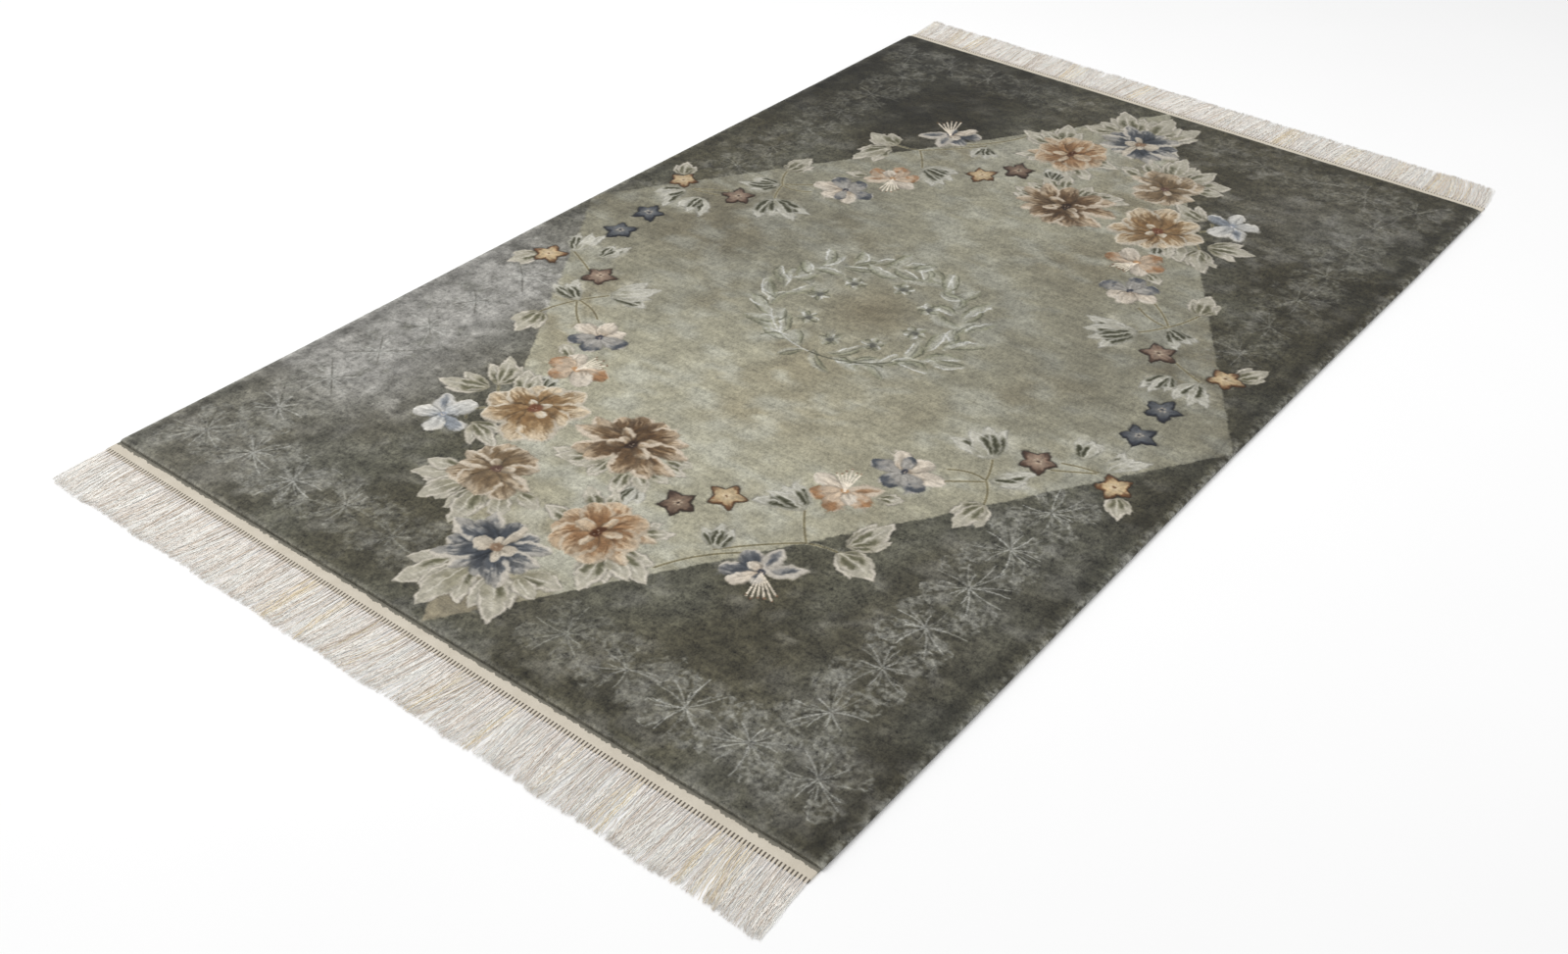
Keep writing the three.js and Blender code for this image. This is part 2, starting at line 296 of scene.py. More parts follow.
def petal(c, base, tip, width, look, kind, bend, level, seed):
    deepDye, midDye, rimDye = petalDyes[look]
    k = dict(zip(petalColumns, petalKinds[kind]))
    pick, t, v, half, d, length = blade(c, base, tip, width, bend, 0.66, k["blunt"], 0.06, seed)
    if not len(pick):
        return
    s = v / np.maximum(half, 0.5)
    side = 1 if chance(seed, 11) > 0.5 else -1
    run = t * length
    streak = mottle(v * 1.1 + seed * 5, run * 0.2, 3.2, seed)
    cloud = 0.65 * mottle(v + seed * 13, run, 14, seed) + 0.35 * mottle(v, run + seed * 7, 6, seed)
    along = t + 0.5 * (cloud - 0.5) + 0.26 * (streak - 0.5)
    low, high = k["deep"]
    pale = 0.35 * midDye + 0.65 * rimDye
    deep = ramp(along, low, 0.36) * (1 - ramp(along, high - 0.25, 0.5)) * (0.4 + 1.0 * cloud)
    if kind == "patch":
        deep = deep * ramp(-d, k["edge"] * 0.4, k["edge"] * (0.7 + 0.8 * cloud))
    rest = mix(midDye + (pale - midDye) * k["rest"], pale, ramp(along, 0.45, 0.4) * k["end"])
    colour = shade(mix(rest, deepDye, np.clip(deep, 0, 1)), 0.86 + 0.28 * streak)
    sides = 0.85 if kind in ("patch", "cup") else 0.15 + 0.85 * ramp(s * side, -0.35, 0.6)
    turned = ramp(t, k["start"] + 0.25 * cloud, 0.2) * sides
    turned = turned * (1 - ramp(-d, k["edge"] * (0.25 + 0.8 * cloud), 4.5))
    colour = mix(colour, rimDye, turned * 0.9)
    fold = bell(s - 0.2 * side, 0.14) * (1 - ramp(t, 0.5, 0.25)) * ramp(t, 0.08, 0.15)
    # painted shade along the petal's fold and over one side of it
    colour = shade(colour, 1 - 0.22 * fold * cloud - 0.1 * smooth(-s * side))
    lift = level + 0.7 * smooth(-d / 9) * (0.5 + 0.5 * t) + 0.3 * turned - 0.3 * fold
    # painted shade in the cut between the petals, darkest near the base
    line = k["line"] * (1.05 - t) * (0.3 + 0.7 * cloud) * (1 - turned)
    c.lay(pick, d, colour, lift, 0.6, line, k["soft"])


def spot(c, x, y, r, colour, strength, cut=0.0):
    pick = c.near(x, y, r * 2)
    gap = np.hypot(c.x[pick] - x, c.y[pick] - y)
    c.stroke(pick, strength * (1 - ramp(gap, r * 0.5, r * 0.8)), colour, cut)


def thread(c, points, wide, colour, strength, cut=0.0):
    x, y = np.array(points, float).T
    size = max(np.ptp(x), np.ptp(y)) / 2 + wide
    pick = c.near((x.max() + x.min()) / 2, (y.max() + y.min()) / 2, size)
    gap = np.full(len(pick), 1e3)
    px, py = c.cutX[pick], c.cutY[pick]
    for x0, y0, x1, y1 in zip(x[:-1], y[:-1], x[1:], y[1:]):
        run = (x1 - x0) ** 2 + (y1 - y0) ** 2
        t = np.clip(((px - x0) * (x1 - x0) + (py - y0) * (y1 - y0)) / run, 0, 1)
        gap = np.minimum(gap, np.hypot(px - x0 - t * (x1 - x0), py - y0 - t * (y1 - y0)))
    c.stroke(pick, (1 - ramp(gap, wide * 0.35, wide * 0.5)) * strength, colour, cut)
    c.touch(pick, gap - wide)


def curve(x0, y0, bx, by, x1, y1, steps=9):
    t = np.linspace(0, 1, steps)
    across = (1 - t) ** 2 * x0 + 2 * t * (1 - t) * bx + t * t * x1
    return list(zip(across, (1 - t) ** 2 * y0 + 2 * t * (1 - t) * by + t * t * y1))


def stem(c, *row):
    line = curve(*row)
    thread(c, line, 6.5, tone(182, 177, 156), 0.5)
    thread(c, line, 3.4, tone(106, 98, 72), 0.9, cut=0.5)


heartTones = {"speck": tone(216, 196, 170), "stamen": tone(230, 218, 200), "anther": tone(96, 70, 50)}


# a flower's petals are laid from the back to the front, then its heart and its stamens
def bloom(c, flower, seed):
    x, y = flower["at"]
    for i, (kind, angle, reach, wide, *own) in enumerate(flower["petals"]):
        a = math.radians(angle + sway(7, seed, i, 1))
        reach *= 0.97 + 0.08 * chance(seed, i, 2)
        petal(c, polar(x, y, 3, a), polar(x, y, reach, a), wide, own[0] if own else flower["tone"], kind,
              sway(0.16, seed, i, 3), 0.7 + 0.05 * i, seed + i)
    wide, tall, colour = flower["heart"]
    ring = 0.5 * min(wide, tall) + 1.6
    for i in range(6):
        a = math.tau * i / 6 + seed
        spot(c, x + wide * 0.5 * math.cos(a), y + tall * 0.5 * math.sin(a), ring, colour, 0.92, 0.4)
    for i in range(3):
        a = 2.1 * i + seed
        spot(c, x + wide * 0.3 * math.cos(a), y + tall * 0.3 * math.sin(a), 1.8, heartTones["speck"], 0.6)
    if "stamens" in flower:
        towards, long = flower["stamens"]
        for i in range(6):
            tip = polar(x, y, long * (0.84 + 0.3 * chance(seed, i, 4)), math.radians(towards + 9 * (i - 2.5)))
            thread(c, [(x, y), tip], 2.6, heartTones["stamen"], 0.85)
            spot(c, *tip, 2.6, heartTones["anther"], 0.8)


starLooks = {
    "gold": {"body": tone(207, 180, 136), "line": tone(112, 74, 44), "eye": tone(104, 66, 36)},
    "mauve": {"body": tone(150, 125, 106), "line": tone(80, 57, 44), "eye": tone(66, 46, 38)},
    "umber": {"body": tone(124, 100, 82), "line": tone(66, 47, 37), "eye": tone(46, 32, 28)},
    "blue": {"body": tone(93, 97, 102), "line": tone(43, 47, 57), "eye": tone(44, 46, 56)},
}
starForm = {"notch": 0.56, "bulge": 1.8, "cream": tone(236, 220, 190), "speck": tone(226, 208, 180)}


def starFlower(c, x, y, radius, turn, look, seed):
    k = starLooks[look]
    pick = c.near(x, y, radius)
    dx, dy = c.x[pick] - x, c.y[pick] - y
    point = math.tau / 5
    r, a = np.hypot(dx, dy), np.arctan2(dy, dx) - math.radians(turn)
    arm = (np.floor((a + point / 2) / point) % 5).astype(int)
    r = r * (0.93 + 0.16 * np.array([chance(seed, i, 31) for i in range(5)])[arm] * smooth(r / radius))
    fold = np.abs((a + point / 2) % point - point / 2)
    u, w = r * np.cos(fold), r * np.sin(fold)
    notchX = math.cos(point / 2) * radius * starForm["notch"]
    notchY = math.sin(point / 2) * radius * starForm["notch"]
    run = math.hypot(notchX - radius, notchY)
    wayX, wayY = (notchX - radius) / run, notchY / run
    along = np.clip(((u - radius) * wayX + w * wayY) / run, 0, 1)
    d = (u - radius) * wayY - w * wayX - starForm["bulge"] * np.sin(math.pi * along)
    d = np.where(u > radius * 0.95, np.maximum(d, u - radius * 0.98), d)
    cloud = 0.6 * mottle(dx + seed * 31, dy, 8, seed) + 0.4 * mottle(dx, dy + seed * 9, 4, seed)
    dip = np.array([0.55 + 0.5 * chance(seed, i, 32) for i in range(5)])[arm]
    pale = 0.82 * k["body"] + 0.18 * starForm["cream"]
    colour = mix(pale, k["body"], smooth((r / radius - 0.15 + 0.4 * (cloud - 0.5)) / 0.3))
    colour = mix(colour, k["line"], smooth((r / radius - 0.42 + 0.6 * (cloud - 0.5)) / 0.45) * dip)
    colour = mix(colour, k["line"], (1 - ramp(-d, 0.6 + 3.6 * cloud, 3.0)) * 0.9)
    crease = bell(w, 1.8) * ramp(r, 5, 8)
    # painted shade down the crease of each arm
    colour = shade(shade(colour, 0.84 + 0.32 * cloud), 1 - 0.12 * crease)
    # 0.4: painted shade in the cut round the star
    c.lay(pick, d, colour, 0.5 + 0.7 * smooth(-d / 8) - 0.3 * crease, 1.1, 0.4)
    for i in range(5):
        spot(c, *polar(x, y, 6, math.radians(turn + 72 * i + 36)), 2.6, starForm["speck"], 0.5)
    spot(c, x, y, 3.2, k["eye"], 0.85, 0.3)


# a cluster of soft pale leaves, dark almonds at their feet, on a patch of brushed wool
def spray(c, x, y, turn, spread, leaves, length, seed):
    pick = c.near(x, y, length * 1.2)
    dx, dy = c.x[pick] - x, c.y[pick] - y
    r = np.hypot(dx, dy)
    off = (np.degrees(np.arctan2(dy, dx)) - turn + 180) % 360 - 180
    aside = np.abs(off) / (spread / 2 + 18)
    hair = 0.4 * mottle(off * 0.5 + seed * 9, r * 0.1, 2.0, seed) + 0.6 * mottle(dx + seed * 7, dy, 14, seed)
    far = length * (0.85 + 0.4 * (hair - 0.5)) * (1 - 0.2 * np.minimum(aside, 1.3) ** 2)
    w = (1 - ramp(r, far * 0.7, far * 0.45)) * (1 - ramp(aside, 0.7, 0.6))
    c.stroke(pick, w * ramp(r, length * 0.16, length * 0.3) * (0.2 + 0.5 * hair), tone(190, 187, 171))
    for i in sorted(range(leaves), key=lambda i: -abs(2 * i - leaves + 1)):       # the middle ones on top
        a = math.radians(turn + spread * ((i + 0.5) / leaves - 0.5) + sway(10, seed, i, 9))
        tip = polar(x, y, length * (0.74 + 0.3 * chance(seed, i, 8)), a)
        bend = sway(0.2, seed, i, 6)
        leaf(c, polar(x, y, length * 0.05, a), tip, length * 0.32, "soft", bend, seed + 3 * i)


# light and cloud: painted sheen on the carved leaves; dark: painted shade in the cut
rosetteLightAndShade = {"light": tone(174, 174, 168), "dark": tone(44, 43, 34), "cloud": tone(128, 127, 119)}


# four pale leaves on the slant with bright veins and outlines, cut into the dark ground: the pale bodies,
# veins and outlines are painted sheen on the carved pile, the dark middle vein is painted shade in its cut
def rosette(c, x, y, size, strong, seed):
    k = rosetteLightAndShade
    for i in range(4):
        n = seed + i
        lean = math.radians(45 + 90 * i + sway(16, seed, i))
        reach = size * (0.9 + 0.24 * chance(seed, i, 2))
        pick, t, v, half, d, length = blade(c, (x, y), polar(x, y, reach, lean), size * 0.66,
                                            sway(0.1, seed, i, 4), 1.1, 0.42, 0.14, n)
        run = t * length
        wisp = 0.4 * mottle(v + n * 7, run, 15, n) + 0.6 * mottle(v, run + n * 3, 5.5, n)
        room = np.clip((k["cloud"].mean() + 36 - c.colour[pick].mean(1)) / 50, 0.1, 1)
        cover = (1 - ramp(d, -6, 14)) * (0.3 + 0.7 * smooth(t / 0.5))
        w = 0.8 * strong * cover * ramp(wisp, 0.3, 0.4) * room
        # painted sheen over the leaf body
        c.stroke(pick, w, np.maximum(k["cloud"], c.colour[pick]))
        outline = bell(d + 1, 1.5) * ramp(mottle(v + n, run, 13, n + 3), 0.45, 0.3)
        # painted highlight along the carved outline
        c.stroke(pick, 0.5 * strong * outline * room, k["light"], 0.3)
        c.height[pick] += 0.35 * cover * strong
        c.touch(pick, d)
        for j in range(5):
            b = lean + 0.17 * (j - 2) + sway(0.14, seed, i, j + 3)
            far = reach * (0.3 + 0.55 * chance(seed, i, j + 7))
            line = curve(*polar(x, y, size * 0.04, b), *polar(x, y, 0.5 * far, b),
                         *polar(x, y, far, b + 0.12 * (j - 2)), 4)
            # painted shade in the middle vein's cut, painted highlight along the other veins
            if j == 2:
                thread(c, line, 2.2, k["dark"], 0.38 * strong, cut=0.5)
            else:
                thread(c, line, 1.9, k["light"], strong * (0.22 + 0.48 * chance(seed, i, j + 11)), cut=0.2)


# ground: dark field, sage diamond from edge middle to edge middle
# sheenAndMottle: the pale grey of the painted sheen and the mottling on the dark field
ground = {"dark": tone(86, 85, 73), "olive": tone(66, 62, 47), "sheenAndMottle": tone(154, 152, 147),
          "sage": tone(165, 161, 140), "sageWarm": tone(140, 131, 107), "sagePale": tone(182, 181, 166),
          "cloud": tone(186, 185, 172), "tip": tone(128, 119, 99)}


def darkField(x, y, big, small, wisp):
    olive = np.clip(ramp(big, 0.3, 0.4) * 0.7 + 0.5 * ramp(y, 300, 400), 0, 1)
    dark = mix(ground["dark"], ground["olive"], olive)
    # lighter grey patches: painted sheen of the silk nap at the left, the right, the ends and the far corner,
    # then blotches of mottling over the field
    left = ramp(-x, 300, 310) * ramp(-y, -120, 520) * (1 - 0.7 * ramp(-y, 760, 260))
    right = 0.1 * ramp(x, 430, 120) * (1 - ramp(x, 690, 50)) * ramp(-y, 250, 200)
    ends = 0.14 * bell(np.abs(y) - 1085, 60)
    far = 0.4 * np.exp(-((x - 500) / 190) ** 2 - ((y - 900) / 150) ** 2)
    sheenAndMottle = np.clip(left + right + ends + far, 0, 1) * (0.65 + 0.6 * small)
    blotch = mottle(x, y * 1.3, 44, 15) * 0.45 + mottle(x, y, 19, 16) * 0.35 + mottle(x, y, 8, 17) * 0.2
    spots = (0.34 + 0.16 * ramp(y, 400, 300) * ramp(x, 50, 300)) * (1 - 0.1 * ramp(y, 300, 300))
    sheenAndMottle = sheenAndMottle + spots * ramp(blotch, 0.5, 0.25) * (1 - sheenAndMottle)
    dark = mix(dark, ground["sheenAndMottle"], np.clip(sheenAndMottle, 0, 0.95))
    corner = 0.28 * ramp(-x, 150, 250) * ramp(y, 500, 300)
    lit = 0.7 - 0.07 * ramp(y, 300, 300) - 0.12 * ramp(x, 480, 200) - corner
    return shade(dark, lit + 0.5 * small + 0.16 * (wisp - 0.5)), sheenAndMottle


def sageField(x, y, big, small, wisp):
    sage = mix(ground["sage"], ground["sageWarm"], ramp(big, 0.42, 0.35) * 0.6)
    sage = mix(sage, ground["sagePale"], ramp(wisp, 0.45, 0.3) * 0.75)
    sage = mix(sage, ground["sageWarm"], bell(np.hypot(x + 5, y + 10), 90) * 0.9)
    near = np.exp(-((np.abs(y) - 800) / 190) ** 2 - (x / 300) ** 2)
    pale = mottle(x, y, 60, 12) * 0.6 + mottle(x, y, 25, 13) * 0.4
    sage = mix(sage, ground["cloud"], near * ramp(pale, 0.4, 0.3) * 0.7)
    sage = mix(sage, ground["tip"], 0.8 * ramp(-y, 1030, 90))
    lit = 0.96 - 0.06 * smooth(x / 500) - 0.07 * ramp(-x, 60, 260) * ramp(y, -520, 240)
    lit = lit - 0.16 * ramp(y, -480, 640) + 0.05 * ramp(y, 150, 500)
    return shade(sage, lit - 0.13 + 0.26 * small)


def paintGround(c):
    x, y = c.x, c.y
    big = mottle(x, y, 210, 3) * 0.55 + mottle(x, y, 90, 4) * 0.45
    small = mottle(x, y, 30, 5) * 0.4 + mottle(x, y, 13, 6) * 0.35 + mottle(x, y, 6, 10) * 0.25
    wisp = mottle(x + y * 0.5, y * 1.7, 75, 7) * 0.5 + mottle(x + y * 0.4, y * 1.6, 32, 9) * 0.5
    dark, sheenAndMottle = darkField(x, y, big, small, wisp)
    slope = math.hypot(1 / halfWide, 1 / halfLong)
    d = (np.abs(x) / halfWide + np.abs(y) / halfLong - 1) / slope
    c.colour[:] = mix(dark, sageField(x, y, big, small, wisp), 1 - ramp(d, -2.5, 5))
    c.height[:] = 0.5 * (small - 0.5) - 0.4 * bell(d, 2.2)
    c.nap[:] = np.where(d > 0, 1 - 0.3 * np.clip(sheenAndMottle, 0, 1), 0.6)
    c.reach[:] = np.minimum(np.abs(d), np.minimum(halfWide - np.abs(x) - 14, halfLong - np.abs(y) - 8))


# rows of rosettes round the dark field, their places in mm
border = {"endRow": -1077, "endX": (190, 312, 432, 547, 665, -190, -310, -432, -550, -668), "size": 80,
          "rightX": 602, "leftX": -628, "sideY": (-957, -835, -719, -599, -476, -350)}


def paintBorder(c, seed, strong):
    size = border["size"]
    for i, x in enumerate(border["endX"]):
        share = strong * (0.55 + 0.45 * ramp(abs(x), 200, 250))
        rosette(c, x, border["endRow"] + sway(10, seed, i), size, share, seed + i * 7)
    for i, y in enumerate(border["sideY"]):
        rosette(c, border["rightX"] + sway(8, seed, i, 2), y, size, strong, seed + 100 + i * 7)
        rosette(c, border["leftX"] + sway(8, seed, i, 3), y, size, strong, seed + 200 + i * 7)


# two laurel branches from the near side up to the far side, small blossoms inside
wreath = {"x": -15, "y": -21, "ring": 186, "leaves": 31, "leaf": 64,
          "blossoms": 8, "blossomRing": 119, "petal": 25,
          "light": tone(206, 206, 202), "dark": tone(84, 84, 70), "pale": tone(170, 170, 159),
          "green": tone(128, 129, 106), "hollow": tone(116, 116, 106), "heart": tone(72, 72, 66)}
# tone-on-tone carved leaves: light strokes are painted highlight on one edge, dark strokes painted shade on
# the other edge and down the middle cut; the stalks' light and dark strokes are painted the same way
wreathStrokes = ((0.85, "light", 0.75, 0.8), (-0.85, "dark", 0.95, 0.85), (0.0, "dark", 0.5, 0.7))
wreathStalks = ((-0.8, -0.5, 3.0, "light", 0.6), (-0.5, -0.22, 3.4, "dark", 0.85))   # half turns, width, dye


def wreathLeaf(c, base, tip, width, bend, seed):
    pick, t, v, half, d, length = blade(c, base, tip, width, bend, 0.75, 0.65, 0.0, seed)
    s = v / np.maximum(half, 0.5) * (1 if chance(seed, 8) > 0.5 else -1)
    streak = mottle(v * 1.2 + seed * 5, t * length * 0.16, 4, seed)
    w = (1 - ramp(d, -2.5, 5)) * (0.2 + 0.6 * streak)
    # painted shading across the leaf, darker on one side and paler on the other
    c.stroke(pick, w, mix(wreath["green"], wreath["pale"], ramp(s, -0.7, 0.9)))
    for at, colour, odds, strong in wreathStrokes:
        start, stop = 0.3 * chance(seed, 9, at), 0.6 + 0.35 * chance(seed, 10, at)
        run = ramp(t, start, 0.12) * (1 - ramp(t, stop, 0.12)) * (d < 2)
        w = bell((s - at) * np.maximum(half, 4), 1.9) * run * strong * (chance(seed, 12, at) < odds)
        c.stroke(pick, w, wreath[colour], 0.5)
    c.height[pick] += 0.4 * smooth(-d / 8)
    c.touch(pick, d)


def paintWreath(c):
    x, y, ring = wreath["x"], wreath["y"], wreath["ring"]
    for way in (1, -1):
        for i in range(wreath["leaves"]):
            n = i + (40 if way < 0 else 0)
            a = math.pi * (-0.5 + 0.98 * (i + 0.7 * chance(n, 1)) / wreath["leaves"])
            grow = a + math.pi / 2 + (-0.85, 0.7, -0.3)[i % 3] * (0.6 + 0.8 * chance(n, 4))
            reach = wreath["leaf"] * (0.75 + 0.6 * chance(n, 6))
            out = ring + sway(30, n, 2)
            bx, by = x + way * out * math.cos(a), y + out * math.sin(a)
            tip = (bx + way * reach * math.cos(grow), by + reach * math.sin(grow))
            wreathLeaf(c, (bx, by), tip, 21 + 11 * chance(n, 5), sway(0.36, n, 7), n)
    for bottom, top, wide, colour, strong in wreathStalks:
        turns = np.linspace(bottom, top, 20) * math.pi
        line = list(zip(x + ring * np.cos(turns), y + ring * np.sin(turns)))
        thread(c, line, wide, wreath[colour], strong, cut=0.6)
    for i in range(wreath["blossoms"]):
        a = math.tau * (i + sway(0.2, i, 3)) / wreath["blossoms"]
        bx, by = polar(x, y, wreath["blossomRing"] * (0.95 + 0.1 * chance(i, 4)), a)
        for j in range(5):
            tip = polar(bx, by, wreath["petal"], math.tau * j / 5 + i)
            wreathLeaf(c, (bx, by), tip, 17, 0, 90 + i * 5 + j)
        # painted shade in the carved hollow of each blossom
        spot(c, bx, by, 11, wreath["hollow"], 0.6, 0.4)
        spot(c, bx + 2, by - 2, 8, wreath["heart"], 0.8)


# one half of the garland, its places in mm. The other half is the same after half a turn.
tan, maroon, throat, pollen = tone(146, 116, 90), tone(54, 36, 26), tone(62, 64, 76), tone(196, 150, 104)
flowers = [
    {"at": (-40, -994), "tone": "blue", "heart": (12, 10, tan), "petals": [
        ("side", 134, 96, 40), ("back", 104, 72, 46), ("back", 62, 72, 46), ("side", 32, 92, 40),
        ("back", 156, 82, 42), ("back", 198, 86, 42), ("back", -10, 80, 42), ("inner", 90, 66, 20, "oat"),
        ("side", 176, 106, 40), ("side", 8, 92, 36), ("side", 252, 84, 42), ("back", 286, 78, 44),
        ("side", 222, 102, 44), ("side", 316, 104, 46), ("inner", 188, 44, 36, "oat"),
        ("inner", 16, 34, 28, "oat"), ("inner", -52, 38, 18, "oat"), ("inner", 120, 26, 16, "oat")]},
    {"at": (-193, -843), "tone": "brown", "heart": (9, 9, tone(104, 74, 62)), "petals": [
        ("back", 152, 68, 54), ("back", 122, 74, 58), ("back", 90, 72, 58), ("back", 60, 74, 56),
        ("side", 176, 76, 34), ("side", 36, 70, 34), ("bowl", 226, 86, 58), ("bowl", 322, 88, 56),
        ("bowl", 254, 76, 62), ("bowl", 290, 76, 62), ("side", -8, 90, 30), ("side", 200, 70, 26),
        ("inner", 140, 30, 18), ("inner", 24, 34, 18)]},
    {"at": (57, -861), "tone": "rust", "heart": (9, 22, tone(84, 44, 18)), "petals": [
        ("side", 24, 100, 32), ("side", -22, 98, 34), ("cup", 170, 80, 56), ("cup", 112, 82, 66),
        ("cup", 140, 76, 58), ("cup", 56, 84, 68), ("cup", 2, 80, 56), ("bowl", 206, 80, 62),
        ("bowl", 236, 82, 70), ("cup", 304, 84, 70), ("cup", 270, 78, 62), ("inner", 180, 48, 30),
        ("inner", 84, 44, 16), ("inner", 268, 46, 16), ("inner", 20, 44, 18)]},
    {"at": (-273, -672), "tone": "gold", "heart": (13, 12, tone(122, 72, 46)), "petals": [
        ("cup", 130, 72, 66), ("cup", 98, 78, 54), ("cup", 68, 104, 58), ("cup", 190, 94, 64),
        ("cup", 158, 78, 54), ("cup", 30, 106, 56), ("cup", 234, 96, 62), ("cup", -4, 84, 56),
        ("cup", 288, 106, 72), ("cup", -38, 106, 72), ("inner", 60, 30, 16), ("inner", 150, 28, 16),
        ("inner", -20, 36, 18)]},
    {"at": (-66, -646), "tone": "walnut", "heart": (9, 18, maroon), "petals": [
        ("back", 146, 90, 48), ("back", 120, 86, 52), ("back", 90, 86, 52), ("side", 40, 98, 42),
        ("back", 62, 84, 50), ("side", 166, 112, 40), ("side", 16, 112, 40), ("side", 190, 116, 44),
        ("side", -8, 118, 40), ("side", 222, 106, 48), ("side", -34, 108, 48), ("bowl", 248, 88, 50),
        ("bowl", 290, 90, 50), ("side", 146, 54, 24), ("side", 44, 50, 26), ("bowl", 206, 44, 24),
        ("side", -16, 52, 26), ("inner", 168, 30, 18), ("inner", 24, 30, 18)]},
    {"at": (-386, -788), "tone": "white", "heart": (7, 7, tone(150, 156, 166)), "petals": [
        ("patch", 130, 66, 40, "ice"), ("back", -8, 64, 32, "ice"), ("inner", 205, 56, 36),
        ("inner", -74, 52, 36), ("inner", 70, 66, 46)]},
    {"at": (325, -775), "tone": "navy", "heart": (6, 6, throat), "stamens": (-52, 64), "petals": [
        ("back", 204, 70, 40), ("back", 152, 60, 42), ("patch", 100, 70, 36), ("patch", 44, 72, 36),
        ("inner", 240, 62, 28, "cream"), ("inner", 160, 32, 24, "cream"), ("back", 282, 32, 18)]},
    {"at": (298, -518), "tone": "orange", "heart": (8, 6, pollen), "stamens": (118, 58), "petals": [
        ("inner", 172, 66, 34, "cream"), ("patch", 38, 64, 36), ("tipped", 222, 60, 38),
        ("tipped", -76, 60, 40), ("tipped", -12, 60, 38), ("inner", -40, 40, 28, "cream")]},
    {"at": (345, -410), "tone": "navy", "heart": (6, 8, throat), "petals": [
        ("tipped", 187, 64, 36), ("inner", 128, 62, 36, "cream"), ("inner", 14, 72, 40, "cream"),
        ("inner", 62, 56, 40, "cream"), ("tipped", 258, 56, 42), ("tipped", -38, 64, 40),
        ("tipped", 106, 46, 26)]},
    {"at": (-306, -531), "tone": "orange", "heart": (8, 6, pollen), "stamens": (66, 52), "petals": [
        ("inner", 128, 54, 40, "cream"), ("tipped", 184, 58, 42), ("tipped", 240, 54, 42),
        ("tipped", 8, 68, 38), ("inner", -38, 60, 42, "cream")]},
    {"at": (-349, -423), "tone": "navy", "heart": (6, 8, throat), "petals": [
        ("inner", 172, 64, 38, "cream"), ("tipped", 225, 58, 38), ("inner", 60, 52, 34, "cream"),
        ("tipped", -80, 54, 40), ("tipped", 8, 60, 38), ("inner", 106, 54, 40, "cream")]},
]
starRows = [  # x, y, radius, turn, dye
    (157, -656, 38, 98, "gold"), (105, -722, 38, 76, "umber"), (506, -239, 39, 88, "mauve"),
    (647, -221, 38, 62, "gold"), (604, -58, 38, 278, "blue"), (598, 40, 38, 88, "blue"),
    (-509, -251, 39, 92, "mauve"), (-651, -249, 38, 112, "gold")]
lobedRows = [  # from x, y to x, y, width, bend
    (-70, -1046, -116, -1152, 74, 0.03), (-42, -1052, -30, -1170, 78, -0.03),
    (0, -1042, 80, -1134, 74, 0.04), (-236, -884, -302, -938, 66, 0.04), (-212, -902, -241, -982, 62, -0.04),
    (-180, -902, -152, -998, 68, 0.04), (104, -884, 208, -906, 62, 0.04), (104, -896, 138, -986, 66, -0.04),
    (389, -658, 474, -680, 66, 0.04), (390, -638, 424, -540, 60, -0.06), (500, -400, 490, -486, 60, 0.0),
    (665, -242, 700, -296, 50, 0.0), (-385, -676, -484, -704, 56, 0.04), (-380, -660, -428, -574, 56, -0.08),
    (-503, -424, -490, -508, 60, 0.0), (-667, -264, -700, -326, 50, 0.0), (-330, -772, -240, -806, 48, 0.05)]
leafRows = [
    (40, -1020, 114, -1003, 42, 0.06), (36, -1030, 96, -1046, 38, 0.0), (-86, -1000, -138, -996, 32, 0.0),
    (-240, -878, -306, -898, 36, 0.0), (-140, -888, -96, -940, 42, 0.0), (-116, -868, -62, -880, 34, 0.0),
    (106, -890, 178, -924, 38, 0.0), (8, -860, -62, -862, 36, 0.04), (20, -820, -42, -778, 34, 0.0),
    (34, -812, 4, -758, 28, 0.0), (100, -820, 124, -780, 26, 0.0), (106, -826, 160, -788, 28, 0.0),
    (12, -640, 60, -630, 28, 0.0), (16, -656, 70, -658, 26, 0.0), (8, -682, 58, -690, 28, 0.0),
    (-6, -702, 44, -734, 32, 0.0), (-64, -704, -62, -760, 32, 0.0), (-72, -706, -112, -752, 34, 0.0),
    (-80, -708, -168, -736, 36, 0.04), (-90, -708, -146, -752, 36, 0.0), (-20, -712, 6, -772, 34, 0.0),
    (-330, -658, -372, -588, 44, -0.06), (-312, -646, -346, -586, 30, 0.0), (352, -500, 394, -478, 28, 0.0),
    (-344, -506, -388, -482, 28, 0.0)]
sprayRows = [  # x, y, turn, spread, leaves, length
    (281, -604, 168, 70, 4, 96), (230, -777, 122, 70, 3, 76), (565, -188, 104, 60, 3, 92),
    (611, -192, 72, 60, 3, 90), (443, -284, 138, 90, 4, 112), (467, -340, 32, 54, 3, 92),
    (-616, -211, 106, 62, 3, 90), (-560, -201, 88, 54, 3, 80), (-442, -297, 40, 90, 4, 110),
    (-475, -346, 154, 52, 3, 88), (20, -726, 286, 70, 3, 70), (-300, -630, 120, 60, 3, 70)]
